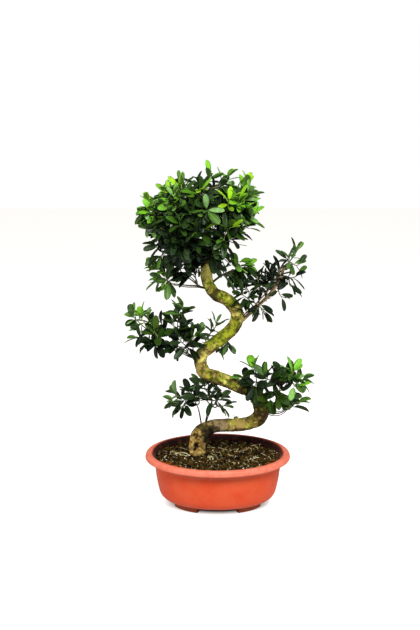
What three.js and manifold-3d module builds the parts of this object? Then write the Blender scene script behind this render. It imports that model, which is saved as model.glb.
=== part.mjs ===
// Ficus bonsai with an S-curved trunk and five heads of leaves, in an oval pot.
// Millimetres, +Z up, front towards -Y. The origin is on the floor, under the
// middle of the pot, and the pot's feet stand at z = 0.

import * as THREE from 'three';
import { mergeVertices } from 'three/addons/utils/BufferGeometryUtils.js';
import Module from 'manifold-3d';

const wasm = await Module();
wasm.setup();

// Clearance between pieces that touch, the distance under which points are one, and the
// size of the slivers that are smoothed away where solids join
const GAP = 0.3;
const SAME_POINT = 1e-5;
const SLIVER = 0.02;

// Pot
const RIM_LENGTH = 349;
const RIM_WIDTH = 280;
const POT_HEIGHT = 131;
const FOOT_HEIGHT = 15;
const FLOOR_THICKNESS = 4;
const FLOOR_TOP = FOOT_HEIGHT + FLOOR_THICKNESS;
const OVAL_SEGMENTS = 32;
const DRAIN = { radius: 6, sides: 10, places: [[-58, 0], [0, 0], [58, 0]] };
const FOOT = { inset: 65, width: 13, from: 19, to: 63, steps: 5, sunk: 1.5 };

// Wall of the pot as (inset from the rim's oval, height): where it starts, and for each of
// its curves the point it bends towards and the point it ends at
const PROFILE_STEPS = 2;
const OUTSIDE = {
  start: [65, FOOT_HEIGHT],
  curves: [
    [39, FOOT_HEIGHT, 34, FOOT_HEIGHT + 27], [25.5, 72, 22.3, POT_HEIGHT - 23],
    [21.5, POT_HEIGHT - 6.5, 13, POT_HEIGHT - 4.5], [4.4, POT_HEIGHT - 3.5, 3.5, POT_HEIGHT - 13],
    [1.6, POT_HEIGHT - 16, 0, POT_HEIGHT - 12], [0, POT_HEIGHT, 8, POT_HEIGHT],
  ],
};
const INSIDE = {
  start: [8, POT_HEIGHT],
  curves: [
    [20.5, POT_HEIGHT, 24.5, POT_HEIGHT - 15], [29, 72, 37.5, FOOT_HEIGHT + 28],
    [42.5, FLOOR_TOP, 66, FLOOR_TOP],
  ],
};

// Soil. Its side ends a little below its edge, and the edge lies a little further out.
const SOIL_EDGE = POT_HEIGHT - 14;
const SOIL_BRIM = { below: 2, outward: 1 };
const SOIL_MOUND = 6;
const SOIL_RINGS = [0.84, 0.64, 0.36];
const SOIL_WAVES = [{ height: 1.4, x: 11, y: 9 }, { height: 0.8, x: 5.3, y: 6.1 }];

// Trunk: centre line and radius at each station, from the soil to the crown
const TRUNK_STATIONS = [
  [-46, 2, 66, 20], [-46, 2, 112, 20], [-46, 2, 148, 22], [-39, 3, 175, 21],
  [-14, 8, 192, 16], [16, 14, 192, 15.5], [49, 18, 192, 15.5], [81, 20, 198, 16.5],
  [101, 19, 214, 18], [106, 15, 238, 18.5], [94, 8, 265, 17.5], [72, 2, 285, 16],
  [48, -2, 296, 15.5], [22, -5, 308, 15], [-3, -6, 318, 15.5], [-28, -4, 327, 15.5],
  [-41, 0, 349, 15], [-35, 5, 377, 15], [-11, 9, 395, 15.5], [15, 12, 415, 15.5],
  [37, 12, 436, 15.5], [45, 9, 464, 15.5], [37, 5, 489, 15], [19, 2, 506, 15],
  [-4, 0, 517, 14.5], [-18, 0, 533, 13.5], [-26, 1, 561, 14], [-24, 2, 594, 13],
];
const TRUNK_SIDES = 10;
const STATION_STEPS = 2;
const BARK_RELIEF = 0.045;
const BARK_WAVES = [{ turns: 3, drift: 0.9 }, { turns: 5, drift: -1.7 }];

// The heel of the trunk stands in the soil as a plain post. Its front is sawn off flat, by
// a block whose face lies this far in front of the post's middle.
const HEEL = { x: -46, y: 2, radius: 21, sides: 16, bottom: 60, top: SOIL_EDGE + 2 * SOIL_MOUND };
const SAWN = { forward: 12, turn: 0.3, size: [120, 60, 110], bottom: SOIL_EDGE + SOIL_MOUND };
const KNOB_SEGMENTS = [7, 5];
const KNOBS = [
  { at: [45, 16, 208], radius: 7 }, { at: [-8, -8, 188], radius: 7 }, { at: [54, 6, 470], radius: 6 },
];

// Limbs that grow on the trunk: centre line and radius at each station
const LIMBS = {
  leader: [[-25, 2, 585, 11], [-27, 0, 640, 8], [-36, 0, 700, 6], [-42, 0, 746, 4]],
  crown_left: [[-26, 1, 622, 6], [-62, -4, 648, 5], [-104, -6, 670, 4], [-130, -6, 684, 3]],
  crown_right: [[-25, 2, 604, 6], [8, -2, 636, 5], [38, -4, 676, 4], [52, -4, 712, 3]],
  low_left: [[-16, 0, 528, 5], [-44, -10, 539, 4], [-72, -15, 542, 3.4], [-102, -18, 546, 2.8]],
  low_left_upper: [[-44, -10, 539, 3.4], [-62, -6, 553, 3], [-80, -4, 566, 2.6]],
  right_back: [[-20, 4, 540, 5], [4, 18, 556, 4], [28, 24, 568, 3]],
  right: [[38, 8, 434, 5.5], [75, 0, 471, 4.6], [100, -5, 498, 4.2], [126, -8, 527, 3.6],
    [146, -8, 563, 3], [154, -7, 584, 2.6]],
  left: [[-36, 0, 356, 5], [-68, -6, 372, 4.2], [-87, -10, 386, 3.8], [-113, -12, 397, 3.2],
    [-134, -14, 408, 2.8]],
  right_low: [[84, 6, 276, 5.5], [112, -10, 295, 4], [140, -16, 304, 3.4], [160, -20, 312, 2.8]],
  bend: [[102, 14, 236, 5], [124, 6, 226, 3.4], [146, -2, 228, 2.8], [164, -8, 238, 2.4]],
  heel_left: [[-38, 2, 190, 3.2], [-46, -4, 238, 2.4], [-57, -8, 264, 2]],
  heel_right: [[-32, 4, 192, 3.2], [-18, 2, 234, 2.4], [-8, 2, 250, 2]],
};
const LIMB_SIDES = 6;

// Leafy sprays: where each starts on its limb (0 to 1 along it), and where its shoots end.
// A head's shoots point away from its heart, and bend up by its lift.
const HEADS = [
  { name: 'crown', heart: [-46, 0, 664], lift: 0.35, leaves: 5, sprays: [
    { limb: 'leader', at: 1, tips: [[-21, -4, 796], [20, 0, 788], [-41, -77, 769]] },
    { limb: 'crown_right', at: 1, tips: [[68, 0, 775], [76, -6, 750], [46, -60, 745]] },
    { limb: 'crown_right', at: 0.72, tips: [[24, -76, 747], [60, -58, 729]] },
    { limb: 'leader', at: 0.22, tips: [[76, -50, 710], [64, -66, 684], [26, -92, 686]] },
    { limb: 'leader', at: 0.3, tips: [[-32, -107, 684], [-50, -104, 654]] },
    { limb: 'leader', at: 0.66, tips: [[-27, -93, 744], [-63, -102, 723]] },
    { limb: 'leader', at: 0.85, tips: [[-88, -66, 772], [-117, -56, 760], [-100, -87, 739]] },
    { limb: 'crown_left', at: 1, tips: [[-158, -36, 738], [-146, -69, 719], [-160, -52, 700]] },
    { limb: 'crown_left', at: 0.66, tips: [[-112, -88, 718], [-86, -103, 698], [-126, -86, 684]] },
    { limb: 'crown_left', at: 0.4, tips: [[-103, -96, 664], [-138, -60, 642], [-76, -92, 640]] },
    { limb: 'low_left', at: 1, tips: [[-142, -22, 586], [-138, -6, 556], [-116, -34, 548]] },
    { limb: 'low_left_upper', at: 1, tips: [[-78, -58, 600], [-104, -2, 592]] },
    { limb: 'leader', at: 0.12, tips: [[-14, -80, 622], [10, -90, 656], [38, -72, 662]] },
    { limb: 'right_back', at: 1, tips: [[50, 16, 592], [68, 22, 576], [50, 44, 562]] },
  ] },
  { name: 'right_middle', heart: [110, 8, 510], lift: 0.35, leaves: 4, sprays: [
    { limb: 'right', at: 1, tips: [[182, -5, 621], [189, -12, 592], [164, 14, 606]] },
    { limb: 'right', at: 0.82, tips: [[186, -8, 566], [172, -16, 540]] },
    { limb: 'right', at: 0.7, tips: [[142, -28, 584], [118, -6, 576], [154, -30, 516]] },
    { limb: 'right', at: 0.52, tips: [[90, -12, 562], [76, 14, 546]] },
    { limb: 'right', at: 0.38, tips: [[106, -16, 478], [74, -22, 508]] },
    { limb: 'right', at: 0.6, tips: [[146, 46, 564], [100, 44, 548]] },
  ] },
  { name: 'left_middle', heart: [-112, 2, 398], lift: 0.35, leaves: 4, sprays: [
    { limb: 'left', at: 1, tips: [[-182, -12, 467], [-164, 8, 458], [-189, -22, 440]] },
    { limb: 'left', at: 0.84, tips: [[-146, -44, 438], [-187, -14, 418], [-160, -26, 404]] },
    { limb: 'left', at: 0.6, tips: [[-103, -18, 456], [-91, 4, 475]] },
    { limb: 'left', at: 0.34, tips: [[-58, -32, 423], [-106, -30, 404]] },
    { limb: 'left', at: 0.7, tips: [[-136, 44, 440], [-84, 42, 430]] },
  ] },
  { name: 'left_lower', heart: [-50, 2, 240], lift: 0.15, leaves: 4, sprays: [
    { limb: 'heel_left', at: 1, tips: [[-104, -14, 281], [-106, -24, 262], [-84, -28, 254]] },
    { limb: 'heel_left', at: 0.72, tips: [[-50, -20, 276], [-42, 4, 304]] },
    { limb: 'heel_right', at: 1, tips: [[-21, -10, 268], [13, 11, 262]] },
    { limb: 'heel_right', at: 0.7, tips: [[-70, 36, 270], [-22, 44, 266]] },
  ] },
  { name: 'right_lower', heart: [120, 2, 284], lift: 0.3, leaves: 4, sprays: [
    { limb: 'right_low', at: 0.3, tips: [[84, -24, 350], [62, -28, 324], [80, -46, 308]] },
    { limb: 'right_low', at: 0.56, tips: [[108, -46, 336], [136, -44, 322]] },
    { limb: 'right_low', at: 1, tips: [[178, -28, 338], [200, -22, 318], [186, -42, 306]] },
    { limb: 'right_low', at: 0.75, tips: [[112, -52, 274], [140, -52, 284], [162, -40, 280]] },
    { limb: 'bend', at: 1, tips: [[190, -14, 258]] },
    { limb: 'right_low', at: 0.45, tips: [[112, 46, 312], [148, 42, 306]] },
  ] },
  { name: 'trunk_sprig', heart: [0, -10, 405], lift: 0, leaves: 6, sprays: [
    { limb: 'trunk', at: 0.655, tips: [[-17, 26, 424]] },
    { limb: 'trunk', at: 0.7, tips: [[24, 30, 384]] },
  ] },
];

// The crown's rear sprays: its front ones, moved to the other side of the trunk, a little
// smaller and a little further down their limbs
const REAR = {
  head: 'crown', sprays: [1, 2, 3, 5, 6, 7, 8, 9, 12], tips: 2,
  shift: 28, depth: 0.8, shrink: 0.9, along: 0.92, back: 0.03, lowest: 0.08,
};

// Twigs: a spray's stem leaves its limb straight for the lead, and its shoots fork on the
// way to the middle of their tips
const TWIG = { root: 2, tip: 1.4, side: 1.4, lead: 4, sides: 3, steps: 2, forkAt: 0.42, bend: 0.45 };

// Leaves. The blade's half width is a share of its length, and its keel is in millimetres.
// Tilts are the angles of the first and last leaf of a shoot to the shoot itself. No leaf
// grows closer to a shoot's root than the lowest node.
const LEAF = {
  length: 37, spread: 0.14, youngest: 0.85, petiole: 6, curl: 0.16,
  firstNode: 2, spacing: 8, lowestNode: 0.95, firstTilt: 28, lastTilt: 78,
  sag: -0.12, rise: 0.08, roll: 0.3, faceForward: 0.8, faceUp: 0.7,
};
const LEAF_SECTIONS = [
  { along: 0.38, half: 0.25, keel: 2.3 },
  { along: 0.76, half: 0.215, keel: 1.8 },
];
const LEAF_CLEARANCE = 0.5;
const BLADE_CLEARANCE = 0.1;
const GOLDEN_ANGLE = THREE.MathUtils.degToRad(137.508);
const SEED = 2407;
const SEED_STEP = 97;

const COLOURS = {
  pot: { color: 0xd9603a, roughness: 0.55, metalness: 0 },
  soil: { color: 0x33261c, roughness: 1, metalness: 0 },
  bark: { color: 0x8c8644, roughness: 0.8, metalness: 0 },
  leaf: { color: 0x2c5a20, roughness: 0.35, metalness: 0 },
};

// Repeatable random draws from 0 to 1 (a Lehmer generator)
class Draws {
  static factor = 16807;
  static modulus = 2147483647;

  constructor(seed) {
    this.state = seed;
  }

  next() {
    this.state = (this.state * Draws.factor) % Draws.modulus;
    return this.state / Draws.modulus;
  }

  between(low, high) {
    return low + (high - low) * this.next();
  }
}

// A closed mesh through rings of equal point count. Each end is closed by a fan, round
// the end's own point where one is given.
function loft(rings, startPoint, endPoint) {
  const count = rings[0].length;
  const points = rings.flat();
  const faces = [];
  for (let i = 0; i + 1 < rings.length; i++) {
    for (let j = 0; j < count; j++) {
      const a = i * count + j;
      const b = i * count + ((j + 1) % count);
      faces.push(a, b, b + count, a, b + count, a + count);
    }
  }
  const last = (rings.length - 1) * count;
  if (startPoint) {
    points.push(startPoint);
    for (let j = 0; j < count; j++) faces.push(points.length - 1, (j + 1) % count, j);
  } else {
    for (let j = 1; j + 1 < count; j++) faces.push(0, j + 1, j);
  }
  if (endPoint) {
    points.push(endPoint);
    for (let j = 0; j < count; j++) faces.push(points.length - 1, last + j, last + ((j + 1) % count));
  } else {
    for (let j = 1; j + 1 < count; j++) faces.push(last, last + j, last + j + 1);
  }
  const geometry = new THREE.BufferGeometry();
  const coordinates = points.flatMap((p) => p.toArray());
  geometry.setAttribute('position', new THREE.Float32BufferAttribute(coordinates, 3));
  geometry.setIndex(faces);
  return geometry;
}

// A solid for joining and cutting, from a closed mesh
function solidOf(source) {
  const geometry = source.clone();
  geometry.deleteAttribute('normal');
  geometry.deleteAttribute('uv');
  const merged = mergeVertices(geometry, SAME_POINT);
  return new wasm.Manifold(new wasm.Mesh({
    numProp: 3,
    vertProperties: new Float32Array(merged.attributes.position.array),
    triVerts: new Uint32Array(merged.index.array),
  }));
}

function meshOf(name, solid, finish) {
  const { vertProperties, triVerts } = solid.asOriginal().simplify(SLIVER).getMesh();
  const geometry = new THREE.BufferGeometry();
  geometry.setAttribute('position', new THREE.BufferAttribute(vertProperties, 3));
  geometry.setIndex(new THREE.BufferAttribute(triVerts, 1));
  geometry.computeVertexNormals();
  const mesh = new THREE.Mesh(geometry, new THREE.MeshStandardMaterial(finish));
  mesh.name = name;
  return mesh;
}

// Pot and soil: rings that follow the rim's oval, moved in by an inset

function ovalPoint(inset, angle, z) {
  const x = (RIM_LENGTH / 2 - inset) * Math.cos(angle);
  const y = (RIM_WIDTH / 2 - inset) * Math.sin(angle);
  return new THREE.Vector3(x, y, z);
}

function ovalRing(inset, z) {
  const angles = Array.from({ length: OVAL_SEGMENTS }, (_, j) => (j / OVAL_SEGMENTS) * 2 * Math.PI);
  return angles.map((angle) => ovalPoint(inset, angle, z));
}

// Points (inset, height) along one side of the pot's wall
function profilePoints({ start, curves }) {
  const outline = new THREE.Path();
  outline.moveTo(...start);
  for (const curve of curves) outline.quadraticCurveTo(...curve);
  return outline.getPoints(PROFILE_STEPS);
}

// One foot: a block bent along the base's oval between two angles, sunk into the base
function footSolid(side, front) {
  const rings = [];
  for (let i = 0; i <= FOOT.steps; i++) {
    const angle = THREE.MathUtils.degToRad(THREE.MathUtils.lerp(FOOT.from, FOOT.to, i / FOOT.steps));
    const outer = ovalPoint(FOOT.inset, angle, 0);
    const inner = ovalPoint(FOOT.inset + FOOT.width, angle, 0);
    const top = FOOT_HEIGHT + FOOT.sunk;
    const section = [outer, inner, inner.clone().setZ(top), outer.clone().setZ(top)];
    rings.push(section.map((p) => new THREE.Vector3(side * p.x, front * p.y, p.z)));
  }
  if (side * front < 0) rings.reverse();
  return solidOf(loft(rings));
}

function potSolid() {
  const outline = [...profilePoints(OUTSIDE), ...profilePoints(INSIDE).slice(1)];
  const rings = outline.map((p) => ovalRing(p.x, p.y));
  const under = new THREE.Vector3(0, 0, FOOT_HEIGHT);
  const floor = new THREE.Vector3(0, 0, FLOOR_TOP);
  let pot = solidOf(loft(rings, under, floor));
  for (const side of [-1, 1]) {
    for (const front of [-1, 1]) pot = pot.add(footSolid(side, front));
  }
  for (const [x, y] of DRAIN.places) {
    pot = pot.subtract(post(x, y, DRAIN.radius, DRAIN.sides, 0, 2 * FLOOR_TOP));
  }
  return pot;
}

// An upright round solid
function post(x, y, radius, sides, bottom, top) {
  const geometry = new THREE.CylinderGeometry(radius, radius, top - bottom, sides);
  geometry.rotateX(Math.PI / 2);
  geometry.translate(x, y, (top + bottom) / 2);
  return solidOf(geometry);
}

// Height of the soil: a low mound with small lumps
function soilHeight(x, y) {
  const outness = (2 * x / RIM_LENGTH) ** 2 + (2 * y / RIM_WIDTH) ** 2;
  const lumps = SOIL_WAVES.map((wave) => wave.height * Math.sin(x / wave.x) * Math.cos(y / wave.y));
  const mound = SOIL_MOUND * Math.max(0, 1 - outness);
  return lumps.reduce((sum, lump) => sum + lump, SOIL_EDGE + mound);
}

// The soil fills the pot up to its edge, and leaves a plain hole for the heel
function soilSolid() {
  const side = profilePoints(INSIDE).filter((p) => p.y < SOIL_EDGE - SOIL_BRIM.below).reverse();
  const rings = side.map((p) => ovalRing(p.x + GAP, p.y + GAP));
  const edgeInset = side.at(-1).x - SOIL_BRIM.outward;
  rings.push(ovalRing(edgeInset + GAP, SOIL_EDGE));
  const surface = (p) => new THREE.Vector3(p.x, p.y, soilHeight(p.x, p.y));
  for (const share of SOIL_RINGS) {
    rings.push(ovalRing(edgeInset, 0).map((p) => surface(p.multiplyScalar(share))));
  }
  const floor = new THREE.Vector3(0, 0, side[0].y + GAP);
  const soil = solidOf(loft(rings, floor, surface(new THREE.Vector3())));
  const hole = post(HEEL.x, HEEL.y, HEEL.radius + GAP, HEEL.sides, HEEL.bottom - GAP, 2 * SOIL_EDGE);
  return soil.subtract(hole);
}

// Trunk, limbs and twigs: tubes along smooth curves

function stationCurve(stations) {
  const centres = stations.map(([x, y, z]) => new THREE.Vector3(x, y, z));
  return new THREE.CatmullRomCurve3(centres, false, 'catmullrom', 0.5);
}

// Radius at a share of the way along a list of stations
function stationRadius(stations, share) {
  const place = share * (stations.length - 1);
  const before = Math.min(Math.floor(place), stations.length - 2);
  return THREE.MathUtils.lerp(stations[before][3], stations[before + 1][3], place - before);
}

// A tube along points, its rings carried along without twist
function tube(points, radii, sides, relief = () => 1) {
  const tangents = points.map((p, i) => {
    const next = points[Math.min(i + 1, points.length - 1)];
    return next.clone().sub(points[Math.max(i - 1, 0)]).normalize();
  });
  const start = Math.abs(tangents[0].z) < 0.9 ? new THREE.Vector3(0, 0, 1) : new THREE.Vector3(0, -1, 0);
  const across = start.addScaledVector(tangents[0], -start.dot(tangents[0])).normalize();
  const rings = points.map((point, i) => {
    across.addScaledVector(tangents[i], -across.dot(tangents[i])).normalize();
    const other = tangents[i].clone().cross(across);
    return Array.from({ length: sides }, (_, j) => {
      const angle = (j / sides) * 2 * Math.PI;
      const radius = radii[i] * relief(angle, i);
      return point.clone().addScaledVector(across, radius * Math.cos(angle))
        .addScaledVector(other, radius * Math.sin(angle));
    });
  });
  return loft(rings);
}

function stationTube(stations, sides, relief) {
  const count = (stations.length - 1) * STATION_STEPS;
  const shares = Array.from({ length: count + 1 }, (_, i) => i / count);
  const curve = stationCurve(stations);
  const points = shares.map((share) => curve.getPoint(share));
  const radii = shares.map((share) => stationRadius(stations, share));
  return tube(points, radii, sides, relief);
}

// Factor on the trunk's radius, for low ridges that wind round it
function barkRelief(angle, ring) {
  const waves = BARK_WAVES.map(({ turns, drift }) => Math.sin(turns * angle + drift * ring));
  return 1 + BARK_RELIEF * waves.reduce((sum, wave) => sum + wave, 0);
}

// Where a spray starts: at the limb's end, or on the bark of the limb's side
function sprayRoot(spray) {
  const stations = spray.limb === 'trunk' ? TRUNK_STATIONS : LIMBS[spray.limb];
  const curve = stationCurve(stations);
  const centre = curve.getPoint(spray.at);
  const tangent = curve.getTangent(spray.at);
  const aim = new THREE.Vector3();
  for (const tip of spray.tips) aim.addScaledVector(tip, 1 / spray.tips.length);
  if (spray.at === 1) return { base: centre.addScaledVector(tangent, GAP), direction: tangent, aim };
  const direction = aim.clone().sub(centre);
  direction.addScaledVector(tangent, -direction.dot(tangent)).normalize();
  const reach = stationRadius(stations, spray.at) + GAP;
  return { base: centre.addScaledVector(direction, reach), direction, aim };
}

// A spray for the rear of a head, from one at its front
function rearSpray(head, { limb, at, tips }) {
  const [hx, , hz] = head.heart;
  return {
    limb,
    at: Math.max(REAR.lowest, at * REAR.along - REAR.back),
    tips: tips.slice(0, REAR.tips).map(([x, y, z]) => [
      hx + REAR.shrink * (x - hx), REAR.shift - REAR.depth * y, hz + REAR.shrink * (z - hz),
    ]),
  };
}

function listSprays() {
  const sprays = [];
  for (const head of HEADS) {
    const rows = [...head.sprays];
    if (head.name === REAR.head) {
      for (const index of REAR.sprays) rows.push(rearSpray(head, head.sprays[index]));
    }
    rows.forEach((row, i) => {
      const name = `${head.name}_spray_${String(i + 1).padStart(2, '0')}`;
      const tips = row.tips.map((tip) => new THREE.Vector3(...tip));
      sprays.push({ name, head, limb: row.limb, at: row.at, tips });
    });
  }
  return sprays;
}

// The block that saws the front of the heel off
function sawnBlock() {
  const block = new THREE.BoxGeometry(...SAWN.size);
  block.translate(0, -SAWN.forward - SAWN.size[1] / 2, SAWN.bottom + SAWN.size[2] / 2);
  block.rotateZ(-SAWN.turn);
  block.translate(HEEL.x, HEEL.y, 0);
  return solidOf(block);
}

// Trunk with its limbs, grown as one piece. What stands in the soil stays within the post.
function trunkSolid() {
  const whole = solidOf(stationTube(TRUNK_STATIONS, TRUNK_SIDES, barkRelief)).subtract(sawnBlock());
  const buried = whole.intersect(post(HEEL.x, HEEL.y, HEEL.radius, HEEL.sides, HEEL.bottom, HEEL.top));
  let trunk = whole.subtract(post(0, 0, RIM_LENGTH, HEEL.sides, 0, HEEL.top)).add(buried);
  for (const knob of KNOBS) {
    const lump = new THREE.SphereGeometry(knob.radius, ...KNOB_SEGMENTS);
    lump.translate(...knob.at);
    trunk = trunk.add(solidOf(lump));
  }
  for (const stations of Object.values(LIMBS)) {
    trunk = trunk.add(solidOf(stationTube(stations, LIMB_SIDES)));
  }
  return trunk;
}

// The shoots of a spray, as points and radii: the first runs from its root through a fork
// to the first tip, and the others leave it at the fork
function sprayShoots(spray) {
  const { base, direction, aim } = sprayRoot(spray);
  const lead = base.clone().addScaledVector(direction, TWIG.lead);
  const heart = new THREE.Vector3(...spray.head.heart);
  const fork = lead.clone().lerp(aim, TWIG.forkAt);
  return spray.tips.map((tip, i) => {
    const outward = tip.clone().sub(heart).normalize();
    outward.z += spray.head.lift;
    const bend = tip.clone().addScaledVector(outward.normalize(), -TWIG.bend * tip.distanceTo(fork));
    const points = new THREE.QuadraticBezierCurve3(fork, bend, tip).getPoints(TWIG.steps);
    if (i > 0) return { points, radii: points.map(() => TWIG.side) };
    points.unshift(base, lead);
    const last = points.length - 1;
    return { points, radii: points.map((_, k) => THREE.MathUtils.lerp(TWIG.root, TWIG.tip, k / last)) };
  });
}

// The place and direction of a shoot at a distance back from its tip
function backFromTip({ points }, distance) {
  let left = distance;
  for (let k = points.length - 1; k > 0; k--) {
    const length = points[k].distanceTo(points[k - 1]);
    if (left < length || k === 1) {
      const root = points[k].clone().lerp(points[k - 1], Math.min(left / length, LEAF.lowestNode));
      return { root, tangent: points[k].clone().sub(points[k - 1]).normalize() };
    }
    left -= length;
  }
}

// One leaf with three corners to each section, from a point inside its shoot to the
// arched-down tip. The blade alone leaves the petiole out.
function leafSolids(root, axis, normal, length) {
  const side = axis.clone().cross(normal).normalize();
  const place = (share) => {
    const along = LEAF.petiole + share * length;
    const drop = -LEAF.curl * length * (along / length) ** 2;
    return root.clone().addScaledVector(axis, along).addScaledVector(normal, drop);
  };
  const sections = LEAF_SECTIONS.map(({ along, half, keel }) => [
    place(along).addScaledVector(side, -half * length),
    place(along).addScaledVector(side, half * length),
    place(along).addScaledVector(normal, -keel),
  ]);
  const tip = place(1);
  return { whole: solidOf(loft(sections, root, tip)), blade: solidOf(loft(sections, null, tip)) };
}

// The leaves of one shoot, from its tip down, turned by the golden angle from one to the next
function shootLeaves(shoot, count, draws) {
  const turn = draws.between(0, 2 * Math.PI);
  const leaves = [];
  for (let i = 0; i < count; i++) {
    const { root, tangent } = backFromTip(shoot, LEAF.firstNode + i * LEAF.spacing);
    const across = new THREE.Vector3(0, 0, 1).cross(tangent).normalize();
    const radial = across.applyAxisAngle(tangent, turn + i * GOLDEN_ANGLE);
    const degrees = THREE.MathUtils.lerp(LEAF.firstTilt, LEAF.lastTilt, i / (count - 1));
    const tilt = THREE.MathUtils.degToRad(degrees);
    const axis = tangent.clone().multiplyScalar(Math.cos(tilt)).addScaledVector(radial, Math.sin(tilt));
    axis.z += draws.between(LEAF.sag, LEAF.rise);
    axis.normalize();
    const upward = tangent.clone().multiplyScalar(LEAF.faceForward);
    upward.z += LEAF.faceUp;
    const normal = upward.addScaledVector(axis, -upward.dot(axis)).normalize();
    normal.applyAxisAngle(axis, draws.between(-LEAF.roll, LEAF.roll));
    const growth = i === 0 ? LEAF.youngest : 1;
    const size = growth * LEAF.length * (1 + draws.between(-LEAF.spread, LEAF.spread));
    leaves.push({ ...leafSolids(root, axis, normal, size), order: i });
  }
  return leaves;
}

function boxesMeet(a, b, margin) {
  return [0, 1, 2].every((k) => a.min[k] - margin < b.max[k] && b.min[k] - margin < a.max[k]);
}

// True where a solid keeps its distance to every solid of a list
function clears(solid, others, distance) {
  const box = solid.boundingBox();
  return others.every((other) => (
    !boxesMeet(box, other.boundingBox(), distance) || solid.minGap(other, distance + 1) >= distance
  ));
}

// Leaves join their spray from the shoots' tips down, spray by spray. A leaf that would
// touch another spray or the trunk, or cut a blade of its own spray, is left off.
function growSprays(sprays, trunk) {
  const parts = sprays.map((spray, i) => {
    const shoots = sprayShoots(spray);
    const draws = new Draws(SEED + SEED_STEP * i);
    const leaves = shoots.flatMap((shoot) => shootLeaves(shoot, spray.head.leaves, draws));
    const stems = shoots.map(({ points, radii }) => solidOf(tube(points, radii, TWIG.sides)));
    return { spray, stems, leaves, wholes: [], blades: [] };
  });
  const orders = Math.max(...sprays.map((spray) => spray.head.leaves));
  for (let order = 0; order < orders; order++) {
    for (const part of parts) {
      const others = parts.filter((other) => other !== part);
      for (const leaf of part.leaves.filter((candidate) => candidate.order === order)) {
        const strangers = others.flatMap((other) => [...other.stems, ...other.wholes]);
        const free = clears(leaf.whole, [trunk, ...strangers], LEAF_CLEARANCE)
          && clears(leaf.blade, part.blades, BLADE_CLEARANCE);
        if (free) {
          part.wholes.push(leaf.whole);
          part.blades.push(leaf.blade);
        }
      }
    }
  }
  return parts.map(({ spray, stems, wholes }) => (
    meshOf(spray.name, wasm.Manifold.union([...stems, ...wholes]), COLOURS.leaf)
  ));
}

const sprays = listSprays();
const trunk = trunkSolid();
const bonsai = new THREE.Group();
bonsai.name = 'ficus_bonsai';
bonsai.add(meshOf('pot', potSolid(), COLOURS.pot));
bonsai.add(meshOf('soil', soilSolid(), COLOURS.soil));
bonsai.add(meshOf('trunk', trunk, COLOURS.bark));
bonsai.add(...growSprays(sprays, trunk));

export default bonsai;
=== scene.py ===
"""Looks of a potted ficus bonsai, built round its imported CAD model.

+Z is up, the front faces -Y, and the origin is on the floor under the middle of the pot.
Sizes are named in millimetres, as in the part's own source, and every surface is turned
into metres when it becomes an object. The trunk, the pot, the soil and each leafy spray
repeat the CAD's own rules with finer surfaces.
"""

import itertools
import logging
import math
from dataclasses import dataclass, field
from enum import Enum

import bpy
import numpy as np
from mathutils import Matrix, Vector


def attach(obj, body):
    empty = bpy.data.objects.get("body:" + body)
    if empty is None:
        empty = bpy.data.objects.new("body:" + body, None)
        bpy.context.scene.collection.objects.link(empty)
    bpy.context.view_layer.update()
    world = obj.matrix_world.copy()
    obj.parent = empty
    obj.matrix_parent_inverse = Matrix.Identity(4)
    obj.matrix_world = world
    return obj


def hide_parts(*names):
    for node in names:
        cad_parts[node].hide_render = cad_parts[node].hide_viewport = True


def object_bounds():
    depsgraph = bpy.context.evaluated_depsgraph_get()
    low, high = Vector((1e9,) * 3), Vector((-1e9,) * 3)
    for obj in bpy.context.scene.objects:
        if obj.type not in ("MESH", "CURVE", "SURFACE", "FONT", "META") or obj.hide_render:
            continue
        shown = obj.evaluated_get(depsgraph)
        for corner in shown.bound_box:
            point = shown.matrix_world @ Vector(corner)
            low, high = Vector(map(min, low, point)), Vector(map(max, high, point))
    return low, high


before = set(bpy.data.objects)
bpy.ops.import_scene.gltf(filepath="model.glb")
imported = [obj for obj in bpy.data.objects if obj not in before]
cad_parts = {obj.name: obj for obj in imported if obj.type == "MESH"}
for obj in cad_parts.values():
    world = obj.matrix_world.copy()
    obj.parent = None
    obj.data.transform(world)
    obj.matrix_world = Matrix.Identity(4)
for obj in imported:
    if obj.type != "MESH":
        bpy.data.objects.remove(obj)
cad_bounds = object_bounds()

log = logging.getLogger("ficus_bonsai")

Array = np.ndarray
Pair = tuple[float, float]
Triple = tuple[float, float, float]
Four = tuple[float, float, float, float]
Material = bpy.types.Material
NodeTree = bpy.types.NodeTree
Object = bpy.types.Object
Rng = np.random.Generator
Socket = bpy.types.NodeSocket

MM = 0.001
BODY = "root"
UP = np.array([0.0, 0.0, 1.0])
LATTICE_PRIMES = (73856093, 19349663, 83492791)
LATTICE_VALUES = 4096


class Slot(Enum):
    """Material slots of the record."""

    POT = "pot_plastic"
    SOIL = "soil"
    BARK = "bark"
    LEAF = "leaf"


# Surfaces


@dataclass
class Surface:
    """Points and faces of closed surfaces, before they become an object.

    Attributes:
        points: Places in millimetres, (n, 3).
        quads: Point numbers of four-sided faces, anticlockwise from outside, (m, 4).
        triangles: Point numbers of three-sided faces, (k, 3).
        qualities: One number a point for each named quality, which materials read.
    """

    points: Array
    quads: Array
    triangles: Array = field(default_factory=lambda: np.empty((0, 3), int))
    qualities: dict[str, Array] = field(default_factory=dict)

    def reversed(self) -> "Surface":
        """Returns the surface with its faces turned to the other side."""
        return Surface(self.points, self.quads[:, ::-1], self.triangles[:, ::-1], self.qualities)

    def marked(self, **values: float | Array) -> "Surface":
        """Returns the surface with these qualities alone. A single number holds for all points."""
        qualities = {name: np.broadcast_to(value, len(self.points)) for name, value in values.items()}
        return Surface(self.points, self.quads, self.triangles, qualities)


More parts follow.
